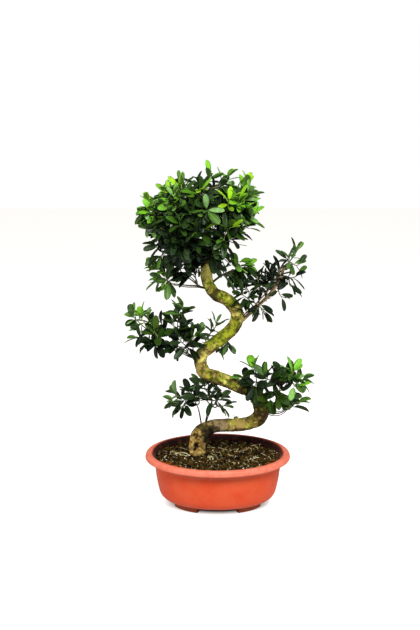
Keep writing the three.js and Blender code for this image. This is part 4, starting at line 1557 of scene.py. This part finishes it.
@dataclass(frozen=True)
class Head:
    """A head of leaves.

    Attributes:
        name: Name of its nodes in the CAD.
        heart: The place that its shoots point away from.
        lift: How much they turn upwards.
        leaves: The CAD's own leaves on a shoot.
        sprays: The sprays at its front.
        rear: The sprays that also stand at its rear.
        vigour: How green its old leaves are.
        filling: Leaves added between the CAD's own on a shoot.
        older: Leaves added below them.
        side: Side shoots on a shoot.
        size: Factor on the leaves' length.
        breadth: Factor on their width.
        added: Sprays that the CAD leaves out.
    """

    name: str
    heart: Triple
    lift: float
    leaves: int
    sprays: tuple[Spray, ...]
    rear: tuple[int, ...] = ()
    vigour: float = 1.0
    filling: int = 2
    older: int = 0
    side: int = 0
    size: float = 1.0
    breadth: float = 1.0
    added: tuple[Spray, ...] = ()

    def reach(self) -> float:
        """Distance from the heart to the furthest tip."""
        tips = np.array([row[:3] for spray in self.sprays for row in spray.tips])
        return float(np.linalg.norm(tips - np.array(self.heart), axis=1).max())


@dataclass
class LeafBatch:
    """Places and looks of many leaves, one row each, and whether each is the CAD's own."""

    own: Array
    root: Array
    axis: Array
    normal: Array
    length: Array
    width: Array
    curl: Array
    fold: Array
    wave: Array
    youth: Array
    tint: Array
    shade: Array

    def only(self, kept: Array) -> "LeafBatch":
        """The leaves that a mask keeps."""
        return LeafBatch(**{key: value[kept] for key, value in vars(self).items()})


@dataclass(frozen=True)
class LeafShape:
    """One leaf: a petiole and an oval blade with a keel, an arch and waved edges.

    rings holds (share of the length, share of the half width) from the petiole's end on.
    section holds eight points round the blade: the place across it from -1 to 1, and 1 on
    the upper face, -1 on the lower or 0 on an edge.
    """

    petiole: float = 6.0
    petiole_radius: float = 0.75
    rings: tuple[Pair, ...] = (
        (0.05, 0.34), (0.18, 0.70), (0.38, 0.95), (0.60, 1.0), (0.81, 0.85), (0.94, 0.53),
    )
    section: tuple[Pair, ...] = (
        (-1.0, 0), (-0.5, 1), (0.0, 1), (0.5, 1), (1.0, 0), (0.5, -1), (0.0, -1), (-0.5, -1),
    )

    def surface(self, batch: LeafBatch) -> Surface:
        """Makes all leaves of a batch at once.

        A point at share s along a blade of length L and at t across it, from -1 to 1, lies at
        root + (petiole + s L) axis + t w(s) side, and above or below that by
        -curl L ((petiole + s L) / L)^2 + fold |t| w(s) + wave w(s) t^2 sin(9 s + 12 wave)
        along the normal, with w(s) the half width there.

        Args:
            batch: The leaves.

        Returns:
            The leaves, each closed by a point in its twig and one at its tip.
        """
        number = len(batch.root)
        s, share = np.array([(-0.02, 0.0), *self.rings]).T
        t, face = np.array(self.section).T
        length, curl, fold, wave = (
            value[:, None, None] for value in (batch.length, batch.curl, batch.fold, batch.wave)
        )
        half = share * (batch.width * batch.length)[:, None]
        half[:, 0] = self.petiole_radius
        half = half[..., None]
        along = self.petiole + s[:, None] * length
        ripple = wave * np.sin(9 * s[:, None] + 12 * wave)
        in_twig = s[:, None] < 0
        upper = np.where(in_twig, 0.6, 0.28) * np.where(t == 0, 0.35, 1.0) * (face > 0)
        lower = np.where(in_twig, 0.7, 0.30) * np.where(t == 0, 2.2, 1.0) * (face < 0)
        rise = half * (fold * np.abs(t) + ripple * t**2) - curl * length * (along / length) ** 2
        rise = rise + upper - lower
        root, axis, normal = (
            value[:, None, None] for value in (batch.root, batch.axis, batch.normal)
        )
        rings = root + along[..., None] * axis + rise[..., None] * normal
        rings = rings + (half * t)[..., None] * np.cross(axis, normal)
        ends = np.stack([batch.root, self.tips(batch)], 1)
        clouds = np.concatenate([rings.reshape(number, len(s) * len(t), 3), ends], 1)
        count = clouds.shape[1]
        blade = {
            "along": np.append(np.repeat(s, len(t)), [0, 1]),
            "across": np.append(np.tile(0.5 + 0.5 * t, len(s)), [0.5, 0.5]),
            "under": np.append(np.tile(face < 0, len(s)), [0, 0]),
        }
        qualities = {name: np.tile(values, number) for name, values in blade.items()}
        for name in ("youth", "tint", "shade"):
            qualities[name] = np.repeat(getattr(batch, name), count)
        return repeated(len(s), len(t), clouds, qualities)

    def tips(self, batch: LeafBatch) -> Array:
        """Places of the leaves' tips: the end of each axis, less the arch's drop."""
        end = self.petiole + batch.length
        drop = batch.curl * batch.length * (end / batch.length) ** 2
        return batch.root + end[:, None] * batch.axis - drop[:, None] * batch.normal


@dataclass
class Foliage:
    """All leafy sprays of the plant, grown by the part's own rule and then filled out."""

    trunk: Trunk
    shape: LeafShape = field(default_factory=LeafShape)
    gap: float = 0.3
    lead: float = 4.0
    fork_at: float = 0.42
    bend: float = 0.45
    length: float = 37.0
    spread: float = 0.14
    youngest: float = 0.85
    first_node: float = 2.0
    spacing: float = 8.0
    first_tilt: float = 28.0
    last_tilt: float = 78.0
    golden_angle: float = math.radians(137.508)
    seed: int = 2407
    seed_step: int = 97
    rear_tips: int = 2
    rear_shift: float = 28.0
    rear_depth: float = 0.8
    rear_shrink: float = 0.9
    rear_along: float = 0.92
    rear_back: float = 0.03
    rear_lowest: float = 0.08
    tip_ranks: Pair = (-0.22, -0.12)
    tip_sizes: Pair = (0.62, 0.42)
    own_sag: Pair = (-0.12, 0.08)
    own_roll: Pair = (-0.3, 0.3)
    added_tilt: Pair = (-9, 9)
    added_sag: Pair = (-0.2, 0.08)
    added_roll: Pair = (-0.8, 0.8)
    added_size: Pair = (-0.25, 0.08)
    width: Pair = (0.20, 0.255)
    curl: Pair = (0.11, 0.21)
    fold: Pair = (0.08, 0.42)
    wave: Pair = (-0.09, 0.09)
    side_spacing: float = 4.5
    margin: float = 2.0
    eye: Triple = (-18.6, -2446.3, 1011.7)
    gaps: tuple[Four, ...] = (
        (-240, -192, 630, 770), (-196, -168, 630, 676), (-136, -92, 788, 840), (-75, -44, 793, 840),
        (-72, -10, 813, 860), (94, 130, 660, 790), (20, 104, 598, 646), (46, 104, 640, 674),
        (-35, -9, 523, 592), (-45, -14, 230, 276), (-165, -133, 252, 290), (182, 230, 560, 622),
        (145, 175, 470, 526), (-205, -176, 712, 747), (-154, -130, 748, 772), (36, 58, 776, 806),
        (20, 46, 256, 300), (172, 226, 258, 293),
    )
    first_added: int = 200

    def staying(self, batch: LeafBatch) -> Array:
        """Tells which leaves stay: those in the CAD's box that leave the gaps free.

        A leaf's tip and its middle are carried along the line from the eye to the plane
        y = 0, where each gap has a range of x and one of z. The part's own leaves may hide one.

        Args:
            batch: The leaves.

        Returns:
            True for each leaf that stays.
        """
        tips = self.shape.tips(batch)
        low, high = np.array(cad_bounds) / MM
        inside = ((tips > low - self.margin) & (tips < high + self.margin)).all(1)
        way = np.stack([tips, 0.5 * (batch.root + tips)]) - np.array(self.eye)
        x, _, z = np.moveaxis(np.array(self.eye) - way * (self.eye[1] / way[..., 1:2]), -1, 0)
        hiding = np.zeros(x.shape, bool)
        for left, right, bottom, top in self.gaps:
            hiding |= (x > left) & (x < right) & (z > bottom) & (z < top)
        return inside & (batch.own | ~hiding.any(0))

    def rear_spray(self, head: Head, spray: Spray) -> Spray:
        """A spray for the rear of a head: a front one moved to the other side of the trunk."""
        hx, _, hz = head.heart
        tips = tuple(
            (hx + self.rear_shrink * (x - hx), self.rear_shift - self.rear_depth * y,
             hz + self.rear_shrink * (z - hz), 0.8 * youth)
            for x, y, z, youth in spray.tips[:self.rear_tips]
        )
        at = max(self.rear_lowest, spray.at * self.rear_along - self.rear_back)
        return Spray(spray.limb, at, tips)

    def root_of(self, spray: Spray) -> tuple[Array, Array, Array]:
        """Where a spray starts.

        Args:
            spray: The spray.

        Returns:
            The place on the bark, the direction in which the stem leaves it, and the middle
            of the spray's tips.
        """
        rows = self.trunk.stations if spray.limb == "trunk" else self.trunk.limbs[spray.limb].stations
        stations = np.array(rows, float)
        shares = np.clip(spray.at + 1e-4 * np.array([-1, 0, 1]), 0, 1)
        before, centre, after = catmull_rom(stations[:, :3], shares)
        tangent = unit(after - before)
        aim = np.array(spray.tips)[:, :3].mean(0)
        if spray.at == 1:
            return centre + tangent * self.gap, tangent, aim
        direction = unit((aim - centre) - ((aim - centre) @ tangent) * tangent)
        radius = np.interp(spray.at * (len(stations) - 1), np.arange(len(stations)), stations[:, 3])
        return centre + direction * (radius + self.gap), direction, aim

    def shoots(self, head: Head, spray: Spray) -> list[Array]:
        """Centre lines of a spray's shoots, the first from its root and the others from a fork.

        Args:
            head: The head that the spray belongs to.
            spray: The spray.

        Returns:
            The lines, each (n, 3), root first.
        """
        base, direction, aim = self.root_of(spray)
        lead = base + direction * self.lead
        fork = lead + (aim - lead) * self.fork_at
        lines = []
        for number, row in enumerate(spray.tips):
            tip = np.array(row[:3])
            outward = unit(tip - np.array(head.heart)) + UP * head.lift
            control = tip - unit(outward) * self.bend * np.linalg.norm(tip - fork)
            middle = 0.25 * fork + 0.5 * control + 0.25 * tip
            corners = [fork, middle, tip]
            if number == 0:
                corners = [base - direction * 3.5, lead, *corners]
            lines.append(catmull_rom(np.array(corners), np.linspace(0, 1, 6 * (len(corners) - 1) + 1)))
        return lines

    def nodes(self, line: Array, distances: Array) -> tuple[Array, Array]:
        """Places and directions on a shoot at distances back from its tip.

        Args:
            line: The shoot's centre line, root first.
            distances: How far back each node is. Past the root the place stays there.

        Returns:
            The places and the directions towards the tip, both (n, 3).
        """
        back = line[::-1]
        steps = np.linalg.norm(np.diff(back, axis=0), axis=1)
        run = np.concatenate([[0], np.cumsum(steps)])
        distances = np.minimum(distances, 0.95 * run[-1])
        places, ahead, behind = (
            np.stack([np.interp(distances + step, run, back[:, k]) for k in range(3)], -1)
            for step in (0.0, -1.0, 1.0)
        )
        return places, unit(ahead - behind)

    def leaf_axes(self, tangent: Array, turn: Array, tilt: Array, sag: Array,
                  roll: Array) -> tuple[Array, Array]:
        """Directions of leaves round a shoot.

        An axis leans from the shoot by the tilt, towards the side that the turn gives, and
        sags a little. Its normal faces the shoot's tip and the sky, and rolls about the axis.

        Args:
            tangent: Direction of the shoot at each leaf.
            turn: Angle round the shoot.
            tilt: Angle from the shoot.
            sag: Added to the axis's height.
            roll: Angle of the blade about its axis.

        Returns:
            The axes and the normals.
        """
        turn, tilt, sag, roll = (values[:, None] for values in (turn, tilt, sag, roll))
        across = unit(np.cross(UP, tangent))
        radial = np.cos(turn) * across + np.sin(turn) * np.cross(tangent, across)
        axis = unit(np.cos(tilt) * tangent + np.sin(tilt) * radial + sag * UP)
        upward = 0.8 * tangent + 0.7 * UP
        normal = unit(upward - (upward * axis).sum(1, keepdims=True) * axis)
        return axis, np.cos(roll) * normal + np.sin(roll) * np.cross(axis, normal)

    def rosette(self, head: Head, line: Array, youth: float, draws: Draws, rng: Rng,
                older: int = 0, added: bool = True) -> LeafBatch:
        """The leaves of one shoot.

        The part's own leaves come first, at the part's own places. Others grow between them,
        turned by half the golden angle, older ones follow, and a small pair stands at the tip.

        Args:
            head: The head that the shoot belongs to.
            line: The shoot's centre line.
            youth: How young the shoot is, 0 to 1.
            draws: The part's draws, or others for an added shoot.
            rng: Draws for what is added.
            older: Leaves added below the part's own.
            added: True for a shoot that the part leaves out, whose leaves stand closer.

        Returns:
            The leaves.
        """
        count = head.leaves
        start = draws.between(0, 2 * math.pi)
        ranges = (self.own_sag, self.own_roll, (-self.spread, self.spread))
        own = np.array([[draws.between(*limits) for limits in ranges] for _ in range(count)])
        between = np.arange(head.filling) * (count - 1) / max(head.filling, count - 1) + 0.5
        rank = np.concatenate([np.arange(count), between, count + np.arange(older), self.tip_ranks])
        total = len(rank)
        others = total - count
        tilt = self.first_tilt + (self.last_tilt - self.first_tilt) * rank / (count - 1)
        tilt = np.clip(tilt, 8, 98) + np.append(np.zeros(count), rng.uniform(*self.added_tilt, others))
        sag = np.append(own[:, 0], rng.uniform(*self.added_sag, others))
        roll = np.append(own[:, 1], rng.uniform(*self.added_roll, others))
        size = 1 + np.append(own[:, 2], rng.uniform(*self.added_size, others))
        size = self.length * head.size * size
        size[0] *= self.youngest
        size[-2:] *= self.tip_sizes
        spacing = self.side_spacing if added else self.spacing
        places, tangent = self.nodes(line, self.first_node + np.maximum(rank, -0.2) * spacing)
        axis, normal = self.leaf_axes(tangent, start + rank * self.golden_angle, np.radians(tilt), sag, roll)
        reach = np.linalg.norm(places - np.array(head.heart), axis=1) / head.reach()
        young = youth * (1.15 - 0.2 * np.maximum(rank, 0)) + rng.uniform(-0.1, 0.1, total)
        return LeafBatch(
            own=(np.arange(total) < count) & (not added),
            root=places, axis=axis, normal=normal, length=size,
            width=head.breadth * rng.uniform(*self.width, total), curl=rng.uniform(*self.curl, total),
            fold=rng.uniform(*self.fold, total), wave=rng.uniform(*self.wave, total),
            youth=np.clip(young, 0, 1),
            tint=np.clip(head.vigour * (0.24 + 0.5 * youth) + rng.normal(0, 0.5, total), 0, 1),
            shade=smoothstep(0.86, 0.60, reach),
        )

    def side_line(self, head: Head, line: Array, rng: Rng) -> Array:
        """Centre line of a side shoot, which leaves a shoot below its tip and bends outwards.

        Args:
            head: The head that it belongs to.
            line: The shoot's own line.
            rng: Draws where and which way it leaves.

        Returns:
            The line, root first.
        """
        places, tangents = self.nodes(line, rng.uniform(18, 46, 1))
        place, tangent = places[0], tangents[0]
        side = unit(np.cross(tangent, rng.normal(size=3)))
        outward = unit(place - np.array(head.heart))
        way = side * rng.uniform(18, 28) + tangent * rng.uniform(6, 16) + outward * rng.uniform(2, 14)
        corners = np.array([place, place + 0.45 * way - 2.0 * UP, place + way])
        return catmull_rom(corners, np.linspace(0, 1, 9))

    def grow(self, head: Head, spray: Spray, index: int, added: bool = False) -> tuple[Surface, Surface]:
        """Grows one spray.

        Args:
            head: The head that it belongs to.
            spray: The spray.
            index: Its place among all sprays, which sets its draws.
            added: True for a spray that the CAD leaves out.

        Returns:
            Its leaves and its twigs.
        """
        draws = Draws(self.seed + self.seed_step * index)
        rng = np.random.default_rng(self.seed + index)
        older = min(head.older, 1) if spray.sparse else head.older
        sides = 0 if spray.sparse or added else head.side
        leaves: list[Surface] = []
        twigs: list[Surface] = []
        for number, line in enumerate(self.shoots(head, spray)):
            youth = spray.tips[number][3]
            batch = self.rosette(head, line, youth, draws, rng, 0 if added else older, added)
            grown = [(line, batch, 1.35 if number else 1.7)]
            for _ in range(sides):
                side = self.side_line(head, line, rng)
                other = Draws(int(rng.integers(1, Draws.MODULUS)))
                grown.append((side, self.rosette(head, side, 0.3 * youth, other, rng), 1.1))
            for way, batch, thick in grown:
                leaves.append(self.shape.surface(batch.only(self.staying(batch))))
                twigs.append(self.twig(way, thick, youth, rng))
        return joined(leaves), joined(twigs)

    def twig(self, line: Array, thick: float, youth: float, rng: Rng) -> Surface:
        """A shoot's stem, which tapers by a third and ends in a pointed bud.

        Args:
            line: Its centre line.
            thick: Its radius at the root.
            youth: How young its tip is, 0 to 1.
            rng: Draws its colour.

        Returns:
            The stem.
        """
        along = np.linspace(0, 1, len(line))
        bud = line[-1] + unit(line[-1] - line[-2]) * np.array([[3.0], [7.0]])
        stem = tube(np.vstack([line, bud]), np.append(thick * (1 - 0.35 * along), [0.8, 0.15]), 7)
        growing = np.clip(stem.qualities["along"] * 1.4 - 0.5, 0, 1) * (0.25 + 0.75 * youth)
        return stem.marked(youth=growing, tint=np.clip(youth**2 + rng.uniform(-0.1, 0.12), 0, 1))

    def build(self, heads: tuple[Head, ...], leaf: Material, twig: Material) -> None:
        """Makes a piece of leaves for every spray, and one of twigs for every head.

        Args:
            heads: The heads, in the order of the part's nodes.
            leaf: Finish of the leaves.
            twig: Finish of the twigs.
        """
        index = 0
        for head in heads:
            rows = [*head.sprays, *(self.rear_spray(head, head.sprays[k]) for k in head.rear)]
            stems = []
            for number, spray in enumerate(rows, 1):
                leaves, twigs = self.grow(head, spray, index)
                name = f"{head.name}_leaves_{number:02d}"
                add_piece(name, leaves, leaf, (f"{head.name}_spray_{number:02d}",))
                stems.append(twigs)
                index += 1
            others = [
                self.grow(head, spray, self.first_added + number, True)
                for number, spray in enumerate(head.added)
            ]
            if others:
                add_piece(f"{head.name}_leaves_added", joined([pair[0] for pair in others]), leaf)
                stems.extend(pair[1] for pair in others)
            add_piece(f"{head.name}_twigs", joined(stems), twig)


HEADS = (
    Head("crown", (-46, 0, 664), 0.35, 5, (
        Spray("leader", 1, ((-21, -4, 796, 0.6), (20, 0, 788, 0.55), (-41, -77, 769, 0.75))),
        Spray("crown_right", 1, ((68, 0, 775, 0.8), (76, -6, 750, 0.3), (46, -60, 745, 0.6))),
        Spray("crown_right", 0.72, ((24, -76, 747, 1.0), (60, -58, 729, 0.6))),
        Spray("leader", 0.22, ((76, -50, 710, 0.35), (64, -66, 684, 0.2), (26, -92, 686, 0.9))),
        Spray("leader", 0.3, ((-32, -107, 684, 1.0), (-50, -104, 654, 0.2))),
        Spray("leader", 0.66, ((-27, -93, 744, 0.1), (-63, -102, 723, 0.15))),
        Spray("leader", 0.85, ((-88, -66, 772, 1.0), (-117, -56, 760, 0.65), (-100, -87, 739, 0.45))),
        Spray("crown_left", 1, ((-158, -36, 738, 0.8), (-146, -69, 719, 0.6), (-160, -52, 700, 0.25))),
        Spray("crown_left", 0.66, ((-112, -88, 718, 0.3), (-86, -103, 698, 0.45), (-126, -86, 684, 0.1))),
        Spray("crown_left", 0.4, ((-103, -96, 664, 0.05), (-138, -60, 642, 0.1), (-76, -92, 640, 0.05))),
        Spray("low_left", 1, ((-142, -22, 586, 0.65), (-138, -6, 556, 0.4), (-116, -34, 548, 0.1)), True),
        Spray("low_left_upper", 1, ((-78, -58, 600, 0.1), (-104, -2, 592, 0.15)), True),
        Spray("leader", 0.12, ((-14, -80, 622, 0.25), (10, -90, 656, 0.2), (38, -72, 662, 0.15))),
        Spray("right_back", 1, ((50, 16, 592, 0.5), (68, 22, 576, 0.4), (50, 44, 562, 0.1)), True),
    ), (1, 2, 3, 5, 6, 7, 8, 9, 12), filling=3, older=4, side=1, breadth=0.92, added=(
        Spray("low_left_upper", 0.3, ((-52, -20, 602, 0.1), (-60, -14, 574, 0.05))),
        Spray("low_left", 0.4, ((-74, -26, 572, 0.05), (-46, -8, 584, 0.05))),
        Spray("right_back", 0.5, ((16, 18, 578, 0.1), (32, 22, 562, 0.1))),
        Spray("leader", 0.3, ((-8, 26, 684, 0.0), (8, 26, 704, 0.0))),
        Spray("leader", 0.2, ((42, 32, 690, 0.3), (36, 4, 662, 0.1), (32, -34, 672, 0.1))),
        Spray("crown_left", 0.5, ((-136, 14, 682, 0.2), (-128, -18, 656, 0.1), (-112, 28, 640, 0.0))),
    )),
    Head("right_middle", (110, 8, 510), 0.35, 4, (
        Spray("right", 1, ((182, -5, 621, 0.15), (189, -12, 592, 0.1), (164, 14, 606, 0.1))),
        Spray("right", 0.82, ((186, -8, 566, 0.05), (172, -16, 540, 0.1))),
        Spray("right", 0.7, ((142, -28, 584, 0.05), (118, -6, 576, 0.05), (154, -30, 516, 0.1))),
        Spray("right", 0.52, ((90, -12, 562, 0.35), (76, 14, 546, 0.2))),
        Spray("right", 0.38, ((106, -16, 478, 0.1), (74, -22, 508, 0.35))),
        Spray("right", 0.6, ((146, 46, 564, 0.1), (100, 44, 548, 0.1))),
    ), vigour=0.8, filling=3, older=2, size=0.86, breadth=0.88, added=(
        Spray("right", 0.3, ((66, -10, 536, 0.1), (54, -20, 522, 0.35))),
        Spray("right", 0.15, ((70, -12, 484, 0.05),)),
        Spray("right", 0.62, ((126, -10, 560, 0.0), (110, 0, 548, 0.0))),
    )),
    Head("left_middle", (-112, 2, 398), 0.35, 4, (
        Spray("left", 1, ((-182, -12, 467, 0.7), (-164, 8, 458, 0.2), (-189, -22, 440, 0.1))),
        Spray("left", 0.84, ((-146, -44, 438, 0.9), (-187, -14, 418, 0.2), (-160, -26, 404, 0.35))),
        Spray("left", 0.6, ((-103, -18, 456, 0.65), (-91, 4, 475, 0.1))),
        Spray("left", 0.34, ((-58, -32, 423, 0.4), (-106, -30, 404, 0.05))),
        Spray("left", 0.7, ((-136, 44, 440, 0.2), (-84, 42, 430, 0.1))),
    ), vigour=1.15, filling=4, older=1, size=0.95, breadth=1.05, added=(
        Spray("left", 0.35, ((-86, -14, 416, 0.1), (-62, -14, 398, 0.1))),
        Spray("left", 0.2, ((-46, -16, 424, 0.2), (-72, -12, 438, 0.15))),
        Spray("left", 0.95, ((-198, -14, 468, 0.1), (-140, -30, 412, 0.05))),
        Spray("left", 0.62, ((-82, -4, 484, 0.1),)),
    )),
    Head("left_lower", (-50, 2, 240), 0.15, 4, (
        Spray("heel_left", 1, ((-104, -14, 281, 0.1), (-106, -24, 262, 0.05), (-84, -28, 254, 0.1))),
        Spray("heel_left", 0.72, ((-50, -20, 276, 0.1), (-42, 4, 304, 0.0))),
        Spray("heel_right", 1, ((-21, -10, 268, 0.05), (13, 11, 262, 0.05))),
        Spray("heel_right", 0.7, ((-70, 36, 270, 0.05), (-22, 44, 266, 0.05))),
    ), vigour=1.3, filling=2, size=0.86, breadth=1.2, added=(
        Spray("heel_right", 0.9, ((-31, 10, 298, 0.0), (-6, 12, 290, 0.0))),
        Spray("heel_right", 0.8, ((0, 6, 258, 0.0), (14, 0, 246, 0.0))),
    )),
    Head("right_lower", (120, 2, 284), 0.3, 4, (
        Spray("right_low", 0.3, ((84, -24, 350, 0.55), (62, -28, 324, 0.1), (80, -46, 308, 0.1))),
        Spray("right_low", 0.56, ((108, -46, 336, 0.35), (136, -44, 322, 0.2))),
        Spray("right_low", 1, ((178, -28, 338, 0.4), (200, -22, 318, 0.2), (186, -42, 306, 0.35))),
        Spray("right_low", 0.75, ((112, -52, 274, 0.9), (140, -52, 284, 0.7), (162, -40, 280, 0.2))),
        Spray("bend", 1, ((190, -14, 258, 0.15),)),
        Spray("right_low", 0.45, ((112, 46, 312, 0.1), (148, 42, 306, 0.1))),
    ), vigour=1.5, filling=4, breadth=1.2, added=(
        Spray("right_low", 0.8, ((161, -20, 326, 0.3),)),
    )),
    Head("trunk_sprig", (0, -10, 405), 0.0, 6, (
        Spray("trunk", 0.655, ((-17, 26, 424, 0.0),)),
        Spray("trunk", 0.7, ((24, 30, 384, 0.0),)),
    ), vigour=0.4, filling=2, size=0.8, breadth=0.8, added=(
        Spray("trunk", 0.665, ((-4, 24, 443, 0.0),)),
        Spray("trunk", 0.7, ((8, 30, 380, 0.0),)),
    )),
)


# Studio


@dataclass
class Studio:
    """Pale floor, soft square lights and the camera.

    lights holds each light's name, its place, its edge in metres and its power in watts.
    """

    floor_half: float = 6000.0
    floor_depth: float = 20.0
    sky: float = 0.20
    aim: Triple = (0, 0, 0.4)
    lights: tuple[tuple[str, Triple, float, float], ...] = (
        ("key", (0.4, -2.0, 2.25), 1.0, 97.0), ("left_fill", (-2.0, -0.9, 1.3), 1.2, 26.0),
        ("right_fill", (2.0, -0.7, 1.1), 1.2, 14.0),
    )
    camera_place: Triple = (-0.018588, -2.44629, 1.01172)
    camera_drop: float = 12.524
    lens: float = 61.05
    sensor: float = 36.0

    def floor(self) -> None:
        """Adds the floor, a slab whose top is at z = 0."""
        corners = self.floor_half * np.array([(-1, -1), (1, -1), (1, 1), (-1, 1)])
        rings = np.stack([np.insert(corners, 2, height, 1) for height in (-self.floor_depth, 0.0)])
        slab = make_object("studio_floor", lofted(rings))
        slab.data.polygons.foreach_set("use_smooth", np.zeros(len(slab.data.polygons), bool))
        slab.data.materials.append(FloorFinish().build())

    def lamps(self) -> None:
        """Adds the lights, which face the aim."""
        for name, place, size, power in self.lights:
            data = bpy.data.lights.new(name, "AREA")
            data.size = size
            data.energy = power
            lamp = in_scene(name, data)
            lamp.location = place
            x, y, z = (a - b for a, b in zip(self.aim, place))
            lamp.rotation_euler = (math.atan2(math.hypot(x, y), -z), 0.0, math.atan2(-x, y))

    def camera(self) -> None:
        """Adds the camera at the photograph's viewing angle."""
        data = bpy.data.cameras.new("camera")
        data.lens = self.lens
        data.sensor_width = self.sensor
        view = in_scene("camera", data)
        view.location = self.camera_place
        view.rotation_euler = (math.radians(90 - self.camera_drop), 0.0, 0.0)
        bpy.context.scene.camera = view

    def dome(self) -> None:
        """Adds a dim white sky, whose strength is 1 for the camera's own rays alone."""
        world = bpy.data.worlds.new("studio")
        world.use_nodes = True
        nodes = Nodes(world.node_tree)
        seen = nodes.node("ShaderNodeLightPath").outputs["Is Camera Ray"]
        strength = nodes.math("MULTIPLY_ADD", seen, 1 - self.sky, self.sky)
        nodes.feed(world.node_tree.nodes["Background"], {"Color": (1, 1, 1, 1), "Strength": strength})
        bpy.context.scene.world = world

    def build(self) -> None:
        """Makes the floor, the sky, the lights and the camera."""
        bpy.context.scene.view_settings.view_transform = "Standard"
        self.dome()
        self.floor()
        self.lamps()
        self.camera()


def main() -> None:
    """Builds the plant, its pot and the studio, in order."""
    logging.basicConfig(level=logging.INFO, format="%(name)s %(message)s")
    mottle = mottle_group()
    pot = Pot()
    pot.build(PotFinish().build(mottle))
    Soil(pot).build(mottle)
    trunk = Trunk()
    trunk.build(BarkFinish().build(mottle))
    Foliage(trunk).build(HEADS, LeafFinish().build(), TwigFinish().build())
    Studio().build()


if __name__ == "__main__":
    main()
